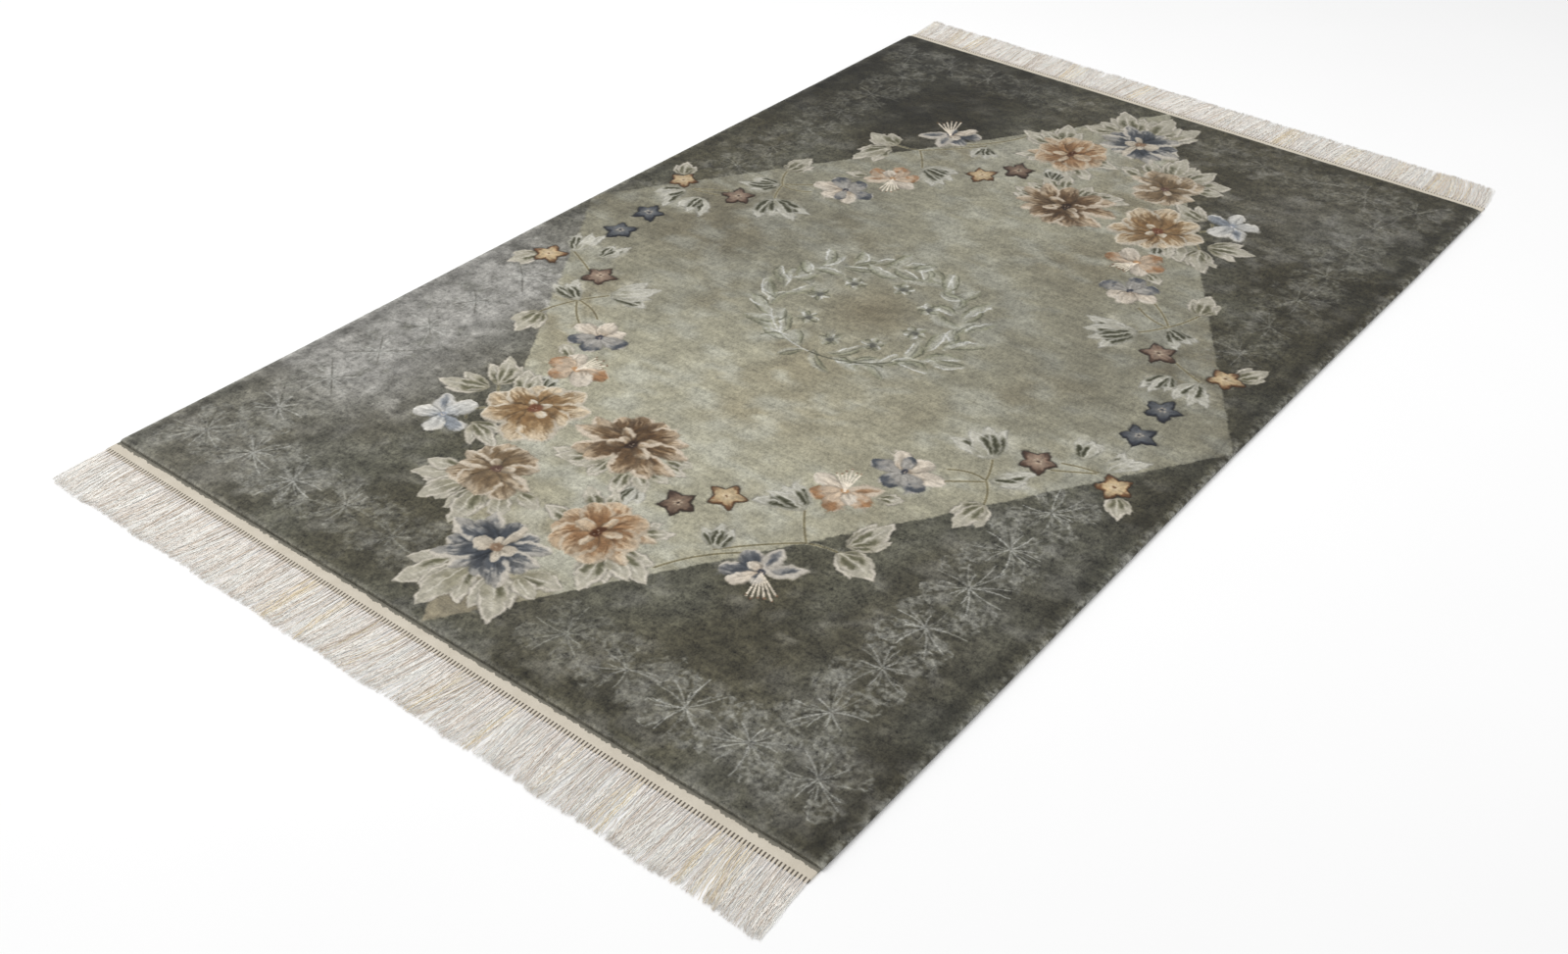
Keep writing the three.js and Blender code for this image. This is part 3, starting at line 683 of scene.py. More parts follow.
stemRows = [  # from x, y, pulled towards x, y, to x, y
    (466, -342, 432, -330, 398, -356), (466, -346, 440, -366, 410, -390), (466, -342, 490, -366, 500, -402),
    (442, -284, 458, -312, 465, -340), (542, -216, 570, -204, 604, -200), (537, -245, 570, -226, 602, -205),
    (332, -672, 360, -658, 392, -658), (186, -872, 214, -800, 276, -750), (280, -604, 304, -640, 334, -670),
    (230, -777, 280, -716, 334, -670), (-475, -346, -432, -348, -398, -376),
    (-477, -349, -446, -390, -406, -414), (-477, -349, -496, -384, -504, -424),
    (-442, -297, -460, -318, -475, -346), (-540, -248, -580, -226, -616, -211),
    (-344, -690, -396, -652, -404, -606), (-346, -770, -370, -748, -344, -726)]


def paintHalf(c, seed, carved):
    paintBorder(c, seed, carved)
    for row in stemRows:
        stem(c, *row)
    for i, row in enumerate(sprayRows):
        spray(c, *row, seed + i * 13)
    for i, (x0, y0, x1, y1, width, bend) in enumerate(lobedRows):
        lobedLeaf(c, (x0, y0), (x1, y1), width, bend, seed + i)
    for i, (x0, y0, x1, y1, width, bend) in enumerate(leafRows):
        leaf(c, (x0, y0), (x1, y1), width, "leaf", bend, seed + i)
    for i, flower in enumerate(flowers):
        bloom(c, flower, seed + i * 31)
    for i, row in enumerate(starRows):
        starFlower(c, *row, seed + i)


halves = ((1, 1, 1.0), (-1, 500, 0.45))            # which way, seed, how clear the rosettes are
washed = 0.88                                      # how much of the dyes' strength is left


def paintRug(x, y):
    c = Canvas(x, y)
    paintGround(c)
    paintWreath(c)
    for way, seed, carved in halves:
        pick, part = c.half(way)
        paintHalf(part, seed, carved)
        c.put(pick, part)
    grey = c.colour.mean(1, keepdims=True)
    plain = ramp(c.nap, 0.4, 0.2)[:, None]         # 1 on the ground, 0 on the motifs
    # motif dyes are dimmed; painted shade dims them a little more towards the far end
    dim = 0.915 - 0.05 * ramp(y, -200, 500)[:, None]
    c.colour = (grey + (c.colour - grey) * (washed + (1 - washed) * plain)) * (dim + (1 - dim) * plain)
    return c


# the pile: one grid, cut finer where the carver and the dyes need it, then parted into four widths
pile = {"columns": 96, "rows": 152, "top": 11.0, "foundation": 2.4,
        "sideRound": (22, 4.6), "endRound": (7, 2.6), "rim": 1.5, "fold": 8,
        "contrast": 15.0, "relief": 0.35, "faces": 305000,
        "names": ("pile_near_end", "pile_near_middle", "pile_far_middle", "pile_far_end")}
luma = np.array([0.3, 0.5, 0.2])


def onlySelect(piece):
    bpy.ops.object.select_all(action="DESELECT")
    piece.select_set(True)
    bpy.context.view_layer.objects.active = piece


def readAll(items, field, width=1, kind=float):
    values = np.empty(len(items) * width, kind)
    items.foreach_get(field, values)
    return values.reshape(-1, width) if width > 1 else values


def readWhole(items, field):
    return readAll(items, field, kind=int)


# where on the rug corners or faces are, in mm
def planOf(items, field):
    return (readAll(items, field, 3)[:, :2] / mm).T


def cutFiner(piece, chosen):
    mesh = piece.data
    held = np.repeat(chosen, readWhole(mesh.polygons, "loop_total"))
    for items, field in ((mesh.vertices, "vertex_index"), (mesh.edges, "edge_index")):
        marked = np.zeros(len(items), bool)
        marked[readWhole(mesh.loops, field)[held]] = True
        items.foreach_set("select", marked)
    mesh.polygons.foreach_set("select", chosen)
    bpy.ops.object.mode_set(mode="EDIT")
    bpy.ops.mesh.subdivide(number_cuts=1, ngon=False, quadcorner="INNERVERT")
    bpy.ops.object.mode_set(mode="OBJECT")


# how much dye and pile height change within each face
def busyness(mesh):
    corner = paintRug(*planOf(mesh.vertices, "co"))
    middle = paintRug(*planOf(mesh.polygons, "center"))
    first = readWhole(mesh.polygons, "loop_start")
    loops = readWhole(mesh.loops, "vertex_index")

    def spread(atCorner, atMiddle):
        v = atCorner[loops]
        high = np.maximum(np.maximum.reduceat(v, first), atMiddle)
        return high - np.minimum(np.minimum.reduceat(v, first), atMiddle)

    return np.maximum(spread(corner.colour @ luma, middle.colour @ luma) / pile["contrast"],
                      spread(corner.height, middle.height) / pile["relief"])


def makePile():
    bpy.ops.object.select_all(action="DESELECT")
    bpy.ops.mesh.primitive_grid_add(x_subdivisions=pile["columns"], y_subdivisions=pile["rows"], size=2)
    piece = bpy.context.object
    bpy.ops.transform.resize(value=(halfWide * mm, halfLong * mm, 1))
    bpy.ops.object.transform_apply(scale=True)
    bpy.context.tool_settings.mesh_select_mode = (False, False, True)
    for cell in (2 * halfWide / pile["columns"], halfWide / pile["columns"]):
        cutFiner(piece, paintRug(*planOf(piece.data.polygons, "center")).reach < cell * 0.6)
    busy = busyness(piece.data)
    spare = max(0, pile["faces"] - len(busy)) // 4     # a cut face and its neighbours add about four
    limit = np.sort(busy)[-spare] if spare < len(busy) else 0
    cutFiner(piece, busy >= max(limit, 0.5))
    return piece


rug = makePile()
print("pile grid:", len(rug.data.polygons), "faces")


# the long sides wander a little, as on the solid: along the rug, then mm inwards on the left and right
sideWander = [(-1.0, 2, 0), (-0.7, 4, 1), (-0.35, 2, 3), (0.0, 0, 5), (0.35, 1, 3), (0.7, 3, 0), (1.0, 2, 1)]
wanderFrom = 400
# side: painted sheen on the rounded shoulders of the long sides, over their fuzz; end: painted light on the
# rounded ends, over the fuzz of the cut pile
pileEdge = {"shadow": (0.2, 26, 11), "side": tone(164, 164, 157), "sideSheenWide": 9,
            "end": tone(150, 148, 138), "endWide": 5}


def linear(srgb):
    v = np.clip(srgb / 255, 0, 1)
    return np.where(v <= 0.04045, v / 12.92, ((v + 0.055) / 1.055) ** 2.4)


def storeColour(mesh, name, colour, alpha):
    rgba = np.column_stack((linear(colour), alpha)).astype(np.float32)
    mesh.attributes.new(name, "FLOAT_COLOR", "POINT").data.foreach_set("color", rgba.ravel())


def wander(x, y):
    along, left, right = np.array(sideWander, float).T
    pull = np.where(x < 0, np.interp(y / halfLong, along, left), np.interp(y / halfLong, along, right))
    return x - np.sign(x) * pull * ramp(np.abs(x), wanderFrom, halfWide - wanderFrom)


def roundOver(gap, rounding):
    wide, drop = rounding
    t = np.clip(1 - gap / wide, 0, 1)
    return drop * (1 - np.sqrt(1 - t * t))


def dressPile(piece):
    mesh = piece.data
    co = readAll(mesh.vertices, "co", 3)
    x, y = co[:, 0] / mm, co[:, 1] / mm
    c = paintRug(x, y)
    sideGap, endGap = halfWide - np.abs(x), halfLong - np.abs(y)
    strong, inside, wide = pileEdge["shadow"]
    colour = shade(c.colour, 1 - strong * bell(sideGap - inside, wide))
    fuzzAndSheen = 0.6 * mottle(x * 1.5, y, 10, 8) + 0.4 * mottle(x, y, 4, 18)
    # a paler band along the long sides: painted sheen on the shoulder, broken by the fuzz
    colour = mix(colour, pileEdge["side"], bell(sideGap, pileEdge["sideSheenWide"]) * ramp(fuzzAndSheen, 0.3, 0.4) * 0.65)
    # a paler rim at each end: painted light over the rounded end, with the fuzz of the cut pile
    rim = bell(endGap, pileEdge["endWide"]) * (0.3 + 0.4 * mottle(x, y * 2, 7, 14))
    # the dyes together with their painted sheen, shade and highlights
    storeColour(mesh, "pileDyeAndPaintedLight", mix(colour, pileEdge["end"], rim), c.nap)
    fuzz = 0.35 * (mottle(x, y, 5, 11) - 0.5)
    z = pile["top"] + c.height + fuzz - roundOver(sideGap, pile["sideRound"])
    z = z - roundOver(endGap, pile["endRound"])
    co[:, 0], co[:, 2] = wander(x, y) * mm, z * mm
    mesh.vertices.foreach_set("co", co.ravel())
    mesh.update()
    normal = readAll(mesh.vertices, "normal", 3).astype(np.float32)
    mesh.attributes.new("napNormal", "FLOAT_VECTOR", "POINT").data.foreach_set("vector", normal.ravel())


def partPile(piece):
    names, widths = pile["names"], []
    for i, name in enumerate(names):
        onlySelect(piece)
        width = piece
        if name != names[-1]:
            edge = halfLong * mm * (2 * (i + 1) / len(names) - 1)
            faces = piece.data.polygons
            faces.foreach_set("select", readAll(faces, "center", 3)[:, 1] < edge)
            bpy.ops.object.mode_set(mode="EDIT")
            bpy.ops.mesh.separate(type="SELECTED")
            bpy.ops.object.mode_set(mode="OBJECT")
            width = next(o for o in bpy.context.selected_objects if o != piece)
        width.name = width.data.name = name
        widths.append(width)
    return widths


# the pile's outer faces go down to the foundation, and the seams between the widths keep their shading
def skirtPile(piece):
    onlySelect(piece)
    mesh = piece.data
    rim = pile["rim"] * mm
    middle = readAll(mesh.vertices, "co", 3)[readAll(mesh.edges, "vertices", 2, int)].mean(1)
    reach = np.abs(wander(np.sign(middle[:, 0]) * halfWide, middle[:, 1] / mm)) * mm
    atRim = (np.abs(middle[:, 0]) > reach - rim) | (np.abs(middle[:, 1]) > halfLong * mm - rim)
    used = np.zeros(len(mesh.edges), int)
    np.add.at(used, readWhole(mesh.loops, "edge_index"), 1)
    for items in (mesh.polygons, mesh.vertices):
        items.foreach_set("select", np.zeros(len(items), bool))
    mesh.edges.foreach_set("select", atRim & (used == 1))
    bpy.context.tool_settings.mesh_select_mode = (False, True, False)
    bpy.ops.object.mode_set(mode="EDIT")
    bpy.ops.mesh.extrude_edges_move()
    bpy.ops.transform.resize(value=(1, 1, 0), center_override=(0, 0, pile["foundation"] * mm))
    bpy.ops.object.mode_set(mode="OBJECT")
    bpy.ops.object.shade_smooth()
    mesh = piece.data
    flat = np.repeat(readAll(mesh.polygons, "normal", 3), readWhole(mesh.polygons, "loop_total"), axis=0)
    nap = readAll(mesh.attributes["napNormal"].data, "vector", 3)
    shown = np.where(flat[:, 2:] > 0.1, nap[readWhole(mesh.loops, "vertex_index")], flat)
    mesh.normals_split_custom_set(shown.tolist())
    layOut(mesh)


# one flat map over each width, its skirt folded outwards
def layOut(mesh):
    co = readAll(mesh.vertices, "co", 3)
    fold = pile["fold"] * mm * (co[:, 2] < (pile["foundation"] + 0.05) * mm)
    x = co[:, 0] + np.sign(co[:, 0]) * fold * (np.abs(co[:, 0]) > (halfWide - 8) * mm)
    y = co[:, 1] + np.sign(co[:, 1]) * fold * (np.abs(co[:, 1]) > (halfLong - 2) * mm)
    u, v = (x - x.min()) / np.ptp(x), (y - y.min()) / np.ptp(y)
    uv = (np.column_stack((u, v)) * 0.996 + 0.002)[readWhole(mesh.loops, "vertex_index")]
    mesh.uv_layers.new(name="OFBake").data.foreach_set("uv", uv.ravel())


dressPile(rug)
pileWidths = partPile(rug)
for width in pileWidths:
    skirtPile(width)
print("pile widths:", {w.name: len(w.data.polygons) for w in pileWidths})


# the woven back under the pile
back = {"thick": 2.4, "sideInset": 7.5, "endInset": 0.5, "floorGap": 0.2, "cuts": 24, "soft": 0.8}


def makeBack():
    bpy.ops.object.select_all(action="DESELECT")
    low, high = back["floorGap"], back["thick"]
    bpy.ops.mesh.primitive_cube_add(size=2, location=(0, 0, (low + high) / 2 * mm))
    piece = bpy.context.object
    piece.name = piece.data.name = "woven_back"
    half = (halfWide - back["sideInset"], halfLong - back["endInset"], (high - low) / 2)
    bpy.ops.transform.resize(value=[v * mm for v in half])
    bpy.ops.object.transform_apply(location=True, scale=True)
    bpy.ops.object.mode_set(mode="EDIT")
    bpy.ops.mesh.select_all(action="SELECT")
    bpy.ops.mesh.subdivide(number_cuts=back["cuts"])
    bpy.ops.object.mode_set(mode="OBJECT")
    soften = piece.modifiers.new("edge", "BEVEL")
    soften.width = back["soft"] * mm
    soften.segments = 2
    bpy.ops.object.modifier_apply(modifier="edge")
    return piece


wovenBack = makeBack()
print("woven back made")


# a flat woven band across each end
band = {"wide": 28.0, "inset": 2.0, "seam": 0.3, "top": 3.0, "columns": 240, "rows": 8}
bandInner = halfLong + band["seam"]
bandOuter = bandInner + band["wide"]
bandHalf = halfWide - band["inset"]


def makeBand(name, end, seed):
    bpy.ops.object.select_all(action="DESELECT")
    bpy.ops.mesh.primitive_grid_add(x_subdivisions=band["columns"], y_subdivisions=band["rows"], size=2)
    piece = bpy.context.object
    piece.name = piece.data.name = name
    bpy.ops.transform.resize(value=(bandHalf * mm, band["wide"] / 2 * mm, 1))
    bpy.ops.transform.translate(value=(0, end * (bandInner + band["wide"] / 2) * mm, 0))
    bpy.ops.object.transform_apply(location=True, scale=True)
    bpy.ops.object.mode_set(mode="EDIT")
    bpy.ops.mesh.select_all(action="SELECT")
    bpy.ops.mesh.extrude_region_move(TRANSFORM_OT_translate={"value": (0, 0, band["top"] * mm)})
    bpy.ops.mesh.select_all(action="SELECT")
    bpy.ops.mesh.normals_make_consistent(inside=False)
    bpy.ops.object.mode_set(mode="OBJECT")
    co = readAll(piece.data.vertices, "co", 3)
    x, out = co[:, 0] / mm, end * co[:, 1] / mm - halfLong - band["seam"]
    share = np.clip(out / band["wide"], 0, 1)
    crown = 0.5 * np.sin(math.pi * np.clip(share * 1.1, 0, 1)) + 0.35 * (mottle(x, out * 2, 60, seed) - 0.5)
    crown -= 0.9 * ramp(share, 0.86, 0.14)
    co[:, 2] += np.where(co[:, 2] > mm, crown * mm, 0.1 * mm)
    piece.data.vertices.foreach_set("co", co.ravel())
    piece.data.update()
    bpy.ops.object.shade_smooth_by_angle(angle=math.radians(40))
    return piece


bandNear = makeBand("end_band_near", -1, 21)
bandFar = makeBand("end_band_far", 1, 22)
print("end bands made")


# fringe: bundles of cotton yarn, each held by a knot at the band
fringe = {"bundles": 228, "yarns": 11, "rows": 10, "length": 108.0, "yarn": 0.55, "rooted": 3,
          "knot": (2.0, 4.4, 1.6), "knotOut": 0.8, "knotUp": 1.9}
yarnDyes = {"pale": tone(253, 249, 244), "cream": tone(243, 235, 226), "grey": tone(216, 203, 189),
            "gold": tone(236, 218, 178)}
bundleRow = bandHalf - 3                          # the outermost bundles are this far from the middle


def linkMesh(name, points, faces, dyes=None):
    mesh = bpy.data.meshes.new(name)
    mesh.from_pydata(points.tolist(), [], faces)
    if dyes is not None:
        storeColour(mesh, "yarnDye", dyes, np.ones(len(dyes)))
    mesh.polygons.foreach_set("use_smooth", np.ones(len(mesh.polygons), bool))
    piece = bpy.data.objects.new(name, mesh)
    bpy.context.collection.objects.link(piece)
    return piece


# tubes of three sides along rows of middles, closed at both ends
def tubes(middles, radius):
    n, rows = middles.shape[:2]
    around = np.array([math.pi / 2, math.pi * 7 / 6, math.pi * 11 / 6])
    ring = np.stack((np.cos(around), np.zeros(3), np.sin(around)), axis=1)
    points = middles[:, :, None, :] + ring[None, None] * radius[:, :, None, None]
    at = np.arange(n * rows * 3).reshape(n, rows, 3)
    a, b = at[:, :-1], at[:, 1:]
    quads = np.stack((a, np.roll(a, -1, 2), np.roll(b, -1, 2), b), axis=-1).reshape(-1, 4)
    tips = np.concatenate((at[:, -1, :], at[:, 0, ::-1]))
    return points.reshape(-1, 3), quads.tolist() + tips.tolist()


def fringeLean(x, end):
    slow = 12 * np.sin(x / 210 + 1.3 * end) + 7 * np.sin(x / 83 + 2.1 * end)
    if end < 0:
        slow = slow - 14 * ramp(-x, 150, 500)            # the locks on the near left lie over to the left
    return slow + 5 * np.sin(x / 31 + end)


def makeFringe(name, end, seed):
    rng = np.random.default_rng(seed)
    k = fringe
    n = k["bundles"] * k["yarns"]
    root = np.repeat(np.linspace(-bundleRow, bundleRow, k["bundles"]), k["yarns"])
    tuft = np.repeat(rng.normal(0, 1, k["bundles"]), k["yarns"])
    spread = rng.uniform(-1, 1, n)[:, None]
    s = np.linspace(0, 1, k["rows"])[None, :]
    length = k["length"] * (1.07 - 0.15 * rng.beta(1.3, 3, n) - 0.04 * np.abs(np.sin(root / 57 + seed)))
    clump = 8.0 * np.sin(root / 12.5 + seed) * (0.4 + 0.6 * mottle(root, root * 0, 70, seed))
    lean = (fringeLean(root, end) + clump + 3.2 * tuft)[:, None]
    swing, pace, start = (rng.uniform(*span, n)[:, None] for span in ((1.0, 3.4), (9, 22), (0, 6.3)))
    wave = swing * np.sin(s * pace + start)
    x = root[:, None] + 1.3 * spread + lean * s ** 1.5 + (7.0 * spread + wave) * s ** 0.8
    edge = bandHalf - 0.8 + 12 * s
    x = np.where(np.abs(x) > edge, np.sign(x) * (edge - 0.3 * (np.abs(x) - edge)), x)
    out = bandOuter - k["rooted"] + (length + k["rooted"])[:, None] * s
    ply = rng.uniform(0, 1, n)[:, None]
    rest = 0.75 + 2.6 * ply * (1 - 0.45 * s)
    z = rest + (2.3 - rest) * np.exp(-(s * 9) ** 2) + 0.3 * np.abs(wave) * s
    radius = k["yarn"] * (1 - 0.35 * s ** 3) * rng.uniform(0.8, 1.25, n)[:, None]
    points, faces = tubes(np.stack((x, end * out, z), axis=-1), radius)
    tint = rng.uniform(0, 1, n)[:, None]
    cream = np.where(tint < 0.86, yarnDyes["cream"], yarnDyes["grey"])
    cream = np.where(tint < 0.55, yarnDyes["pale"], cream)
    gold = ramp(mottle(root, root * 0, 26, seed + 3), 0.62, 0.2) * (rng.uniform(0, 1, n) > 0.7)
    dyes = np.repeat(mix(cream, yarnDyes["gold"], gold * 0.6), k["rows"] * 3, axis=0)
    towardsTip = 0.96 + 0.06 * smooth(np.linspace(0, 4, k["rows"]))
    return linkMesh(name, points * mm, faces, shade(dyes, np.tile(np.repeat(towardsTip, 3), n)))


fringeNear = makeFringe("fringe_yarns_near", -1, 31)
fringeFar = makeFringe("fringe_yarns_far", 1, 32)
print("fringe made:", len(fringeNear.data.polygons), len(fringeFar.data.polygons), "faces")


# a row of knots where the bundles leave the band: one small knot, copied along it
def makeKnots(name, end):
    bpy.ops.object.select_all(action="DESELECT")
    bpy.ops.mesh.primitive_uv_sphere_add(segments=8, ring_count=5, radius=1)
    knot = bpy.context.object
    bpy.ops.transform.resize(value=[v * mm for v in fringe["knot"]])
    bpy.ops.object.transform_apply(scale=True)
    co = readAll(knot.data.vertices, "co", 3)
    loop = [list(p.vertices) for p in knot.data.polygons]
    bpy.data.objects.remove(knot)
    points, faces = [], []
    for i, x in enumerate(np.linspace(-bundleRow, bundleRow, fringe["bundles"])):
        place = np.array([x + sway(0.5, i, end), end * (bandOuter + fringe["knotOut"]), fringe["knotUp"]])
        points.append(co + place * mm)
        faces += [[v + len(co) * i for v in face] for face in loop]
    return linkMesh(name, np.concatenate(points), faces)


knotsNear = makeKnots("knot_row_near", -1)
knotsFar = makeKnots("knot_row_far", 1)
print("knots made")


# shader sums written as plain expressions
class Wire:
    def __init__(self, tree, socket):
        self.tree, self.socket = tree, socket

    def other(self, out):                         # another output of the same node
        return Wire(self.tree, self.socket.node.outputs[out])

    def maths(self, operation, a, b):
        made = self.tree.nodes.new("ShaderNodeMath")
        made.operation = operation
        for socket, value in zip(made.inputs, (a, b)):
            plug(self.tree, socket, value)
        return Wire(self.tree, made.outputs[0])

    def __add__(self, other):
        return self.maths("ADD", self, other)

    def __radd__(self, other):
        return self.maths("ADD", other, self)

    def __sub__(self, other):
        return self.maths("SUBTRACT", self, other)

    def __rsub__(self, other):
        return self.maths("SUBTRACT", other, self)

    def __mul__(self, other):
        return self.maths("MULTIPLY", self, other)

    def __rmul__(self, other):
        return self.maths("MULTIPLY", other, self)

    def __truediv__(self, other):
        return self.maths("DIVIDE", self, other)

    def __mod__(self, other):
        return self.maths("FLOORED_MODULO", self, other)

    def __gt__(self, other):
        return self.maths("GREATER_THAN", self, other)

    def __lt__(self, other):
        return self.maths("LESS_THAN", self, other)


def plug(tree, socket, value):
    if isinstance(value, Wire):
        tree.links.new(value.socket, socket)
    else:
        socket.default_value = value


# one material and the nodes that feed its shader
class Finish:
    def __init__(self, name):
        self.material = bpy.data.materials.new(name)
        self.material.use_nodes = True
        self.tree = self.material.node_tree
        self.shader = self.tree.nodes["Principled BSDF"]
        self.place = self.node("TexCoord", out="Object")

    # settings are set first, then sockets by name, or by number as i0, i1
    def node(self, kind, settings=None, out=0, **values):
        made = self.tree.nodes.new("ShaderNode" + kind)
        for name, value in (settings or {}).items():
            setattr(made, name, value)
        for name, value in values.items():
            socket = int(name[1:]) if name[0] == "i" and name[1:].isdigit() else name
            plug(self.tree, made.inputs[socket], value)
        return Wire(self.tree, made.outputs[out])

    def noise(self, scale, detail=3.0, stretch=None):
        place = self.node("Mapping", Vector=self.place, Scale=stretch) if stretch else self.place
        return self.node("TexNoise", Vector=place, Scale=scale, Detail=detail, Roughness=0.6)

    def ribs(self, direction, scale, bent):
        settings = {"bands_direction": direction}
        return self.node("TexWave", settings, Vector=self.place, Scale=scale, Distortion=bent, Detail=1.0)

    def dyes(self, attribute):
        return self.node("Attribute", {"attribute_name": attribute}, out="Color")

    def blend(self, factor, a, b):
        return self.node("Mix", {"data_type": "RGBA"}, out=2, Factor=factor, i6=a, i7=b)

    def scaled(self, colour, by):
        return self.node("VectorMath", {"operation": "SCALE"}, i0=colour, Scale=by)

    def feed(self, inputs):
        for name, value in inputs.items():
            plug(self.tree, self.shader.inputs[name], value)
        return self.material

    def dress(self, colour, roughness, height, bump, sheen, sheenTint):
        strength, distance = bump
        relief = self.node("Bump", Strength=strength, Distance=distance * mm, Height=height)
        return self.feed({"Base Color": colour, "Roughness": roughness, "Normal": relief,
                          "Sheen Weight": sheen, "Sheen Roughness": 0.4, "Sheen Tint": sheenTint,
                          "Specular IOR Level": 0.25})


# silky clipped pile: the knots' dye, broken up by grain and by painted sheen in streaks where the nap lies
# differently
def pileFinish():
    f = Finish("carved_silk_pile")
    dyedAndLit = f.dyes("pileDyeAndPaintedLight")
    nap = dyedAndLit.other("Alpha")
    tufts = f.noise(300.0, 2.0)
    knots = f.noise(150.0, 3.0, (1.0, 0.75, 1.0))
    brushed = f.noise(40.0, 4.0, (1.0, 1.5, 1.0))
    rows = f.noise(40.0, 3.0, (0.35, 6.0, 1.0))
    loose = nap * nap
    # grain of the tufts and knots, and painted sheen in brushed patches and rows where the nap lies
    # differently
    light = (1 + (tufts - 0.5) * (0.35 + loose) + (knots - 0.5) * (0.45 + loose * 1.9)
             + (brushed - 0.5) * (0.1 + loose * 1.5) + (rows - 0.5) * 0.6)
    height = tufts * 0.6 + knots * 0.7 + rows * 0.25
    return f.dress(f.scaled(dyedAndLit, light), 0.62 + knots * 0.3, height, (0.6, 2.0), 0.12, (0.92, 0.93, 0.9, 1))


# flat woven cotton: fine ribs, little dark slits between the bundles painted as shadow in the holes down to
# the darker warp, and pile tufts lying over it
def bandFinish():
    f = Finish("band_cotton")
    x = f.node("SeparateXYZ", Vector=f.place)
    out = f.node("Math", {"operation": "ABSOLUTE"}, i0=x.other(1))
    pitch = 2 * bundleRow / (fringe["bundles"] - 1) * mm
    between = ((x + bundleRow * mm) / pitch) % 1.0
    # painted shadow in the slits between the bundles
    shadowedSlit = (between > 0.3) * (between < 0.7) * (out > (bandOuter - 6.0) * mm)
    rib, warp = f.ribs("Y", 150.0, 1.5), f.ribs("X", 110.0, 1.0)
    fine = f.noise(420.0, 2.0)
    plain = f.blend(f.noise(26.0), (0.52, 0.465, 0.375, 1), (0.68, 0.625, 0.53, 1))
    worn = f.scaled(plain, 0.86 + fine * 0.22 + rib * 0.06)
    colour = f.blend(shadowedSlit * 0.9, worn, (0.07, 0.055, 0.04, 1))
    tuft = f.noise(130.0, 3.0, (1.0, 0.4, 1.0))
    over = (tuft * 14 * mm + (halfLong - 0.5) * mm) > out
    colour = f.blend(over * 0.85, colour, (0.13, 0.125, 0.1, 1))
    height = rib * 0.5 + warp * 0.5 + fine * 0.4 - shadowedSlit * 2.0
    return f.dress(colour, 0.85 + fine * 0.1, height, (0.5, 0.5), 0.15, (1, 0.97, 0.92, 1))


# twisted cotton yarn of the fringe
def yarnFinish():
    f = Finish("fringe_cotton")
    twist = f.noise(700.0, 2.0, (1.0, 0.5, 1.0))
    colour = f.scaled(f.dyes("yarnDye"), 0.78 + twist * 0.3 + f.noise(30.0, 2.0) * 0.14)
    return f.dress(colour, 0.85 + twist * 0.1, twist, (0.4, 0.5), 0.2, (1, 0.98, 0.94, 1))


def knotFinish():
    f = Finish("knot_cotton")
    wrap = f.noise(520.0, 2.0)
    colour = f.blend(wrap, (0.54, 0.46, 0.36, 1), (0.82, 0.76, 0.66, 1))
    return f.dress(colour, 0.88 + wrap * 0.08, wrap, (0.5, 0.6), 0.15, (1, 0.97, 0.92, 1))


# the back shows the knots in rows on a cotton ground
def backFinish():
    f = Finish("knotted_back")
    knots = f.ribs("X", 90.0, 0.8) * f.ribs("Y", 90.0, 0.8)
    soil = f.noise(9.0, 4.0)
    plain = f.blend(soil, (0.13, 0.13, 0.105, 1), (0.24, 0.235, 0.19, 1))
    colour = f.scaled(plain, 0.75 + knots * 0.6)
    return f.dress(colour, 0.85 + soil * 0.1, knots, (0.6, 0.5), 0.1, (1, 1, 1, 1))


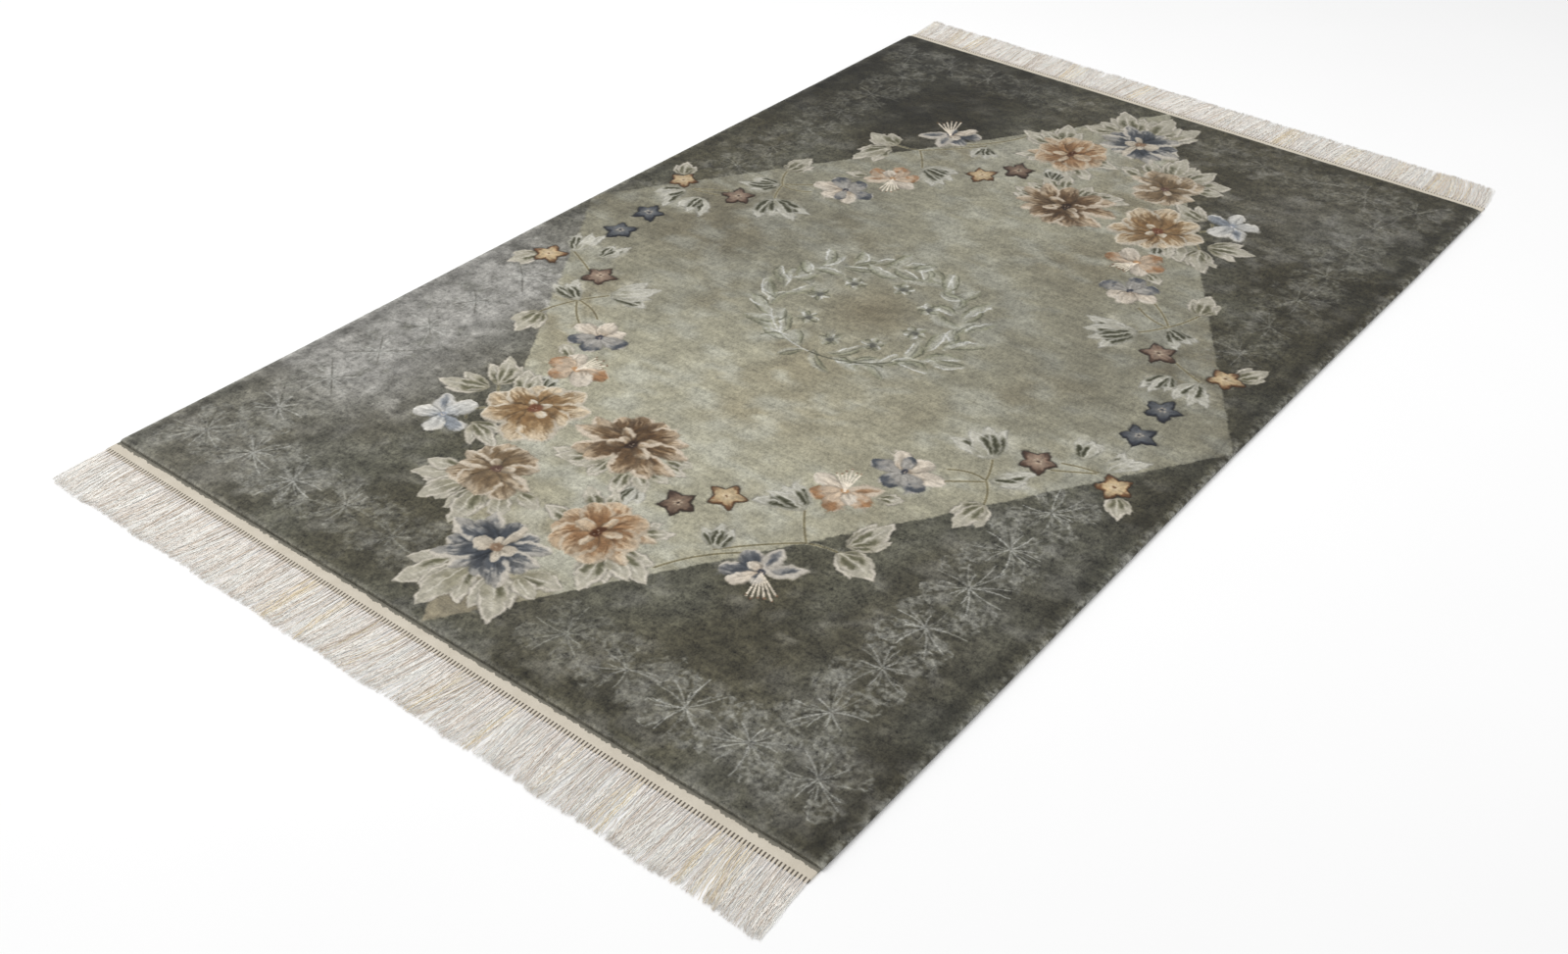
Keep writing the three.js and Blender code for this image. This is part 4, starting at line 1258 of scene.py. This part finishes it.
def floorFinish():
    f = Finish("pale_floor")
    colour = f.blend(f.noise(2.0, 2.0), (0.93, 0.93, 0.93, 1), (0.95, 0.95, 0.95, 1))
    return f.feed({"Base Color": colour, "Roughness": 0.9, "Specular IOR Level": 0.1})


finishes = [(pileFinish(), pileWidths), (bandFinish(), [bandNear, bandFar]),
            (yarnFinish(), [fringeNear, fringeFar]), (knotFinish(), [knotsNear, knotsFar]),
            (backFinish(), [wovenBack])]
for finish, pieces in finishes:
    for piece in pieces:
        piece.data.materials.clear()
        piece.data.materials.append(finish)
print("finishes set")


# pale floor and soft studio light: place, size and power of each lamp
studio = {"floor": 14.0, "squares": 8, "under": -0.3, "sky": 0.6,
          "lamps": [((-2.0, -0.9, 4.2), 3.5, 110.0), ((2.2, 1.4, 4.2), 3.5, 48.0)]}


def makeStudio():
    bpy.ops.object.select_all(action="DESELECT")
    bpy.ops.mesh.primitive_grid_add(x_subdivisions=studio["squares"], y_subdivisions=studio["squares"],
                                    size=studio["floor"], location=(0, 0, studio["under"] * mm))
    floor = bpy.context.object
    floor.name = "studio_floor"
    floor.data.materials.append(floorFinish())
    for i, (place, size, power) in enumerate(studio["lamps"]):
        bpy.ops.object.light_add(type="AREA", location=place)
        lamp = bpy.context.object
        lamp.name = f"softbox_{i}"
        lamp.data.size = size
        lamp.data.energy = power
        lamp.rotation_euler = (-Vector(place)).to_track_quat("-Z", "Y").to_euler()
    bpy.context.scene.view_settings.view_transform = "Standard"
    world = bpy.data.worlds.new("studio")
    bpy.context.scene.world = world
    world.use_nodes = True
    sky = world.node_tree.nodes["Background"]
    sky.inputs["Color"].default_value = (1, 1, 1, 1)
    sky.inputs["Strength"].default_value = studio["sky"]


makeStudio()
print("studio ready")


# what each piece rides on and stands for
def register(piece, node):
    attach(piece, "root")
    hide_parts(node)


for width in pileWidths:
    register(width, "pile_field")
register(wovenBack, "pile_field")
for piece in (bandNear, fringeNear, knotsNear):
    register(piece, "fringe_near")
for piece in (bandFar, fringeFar, knotsFar):
    register(piece, "fringe_far")
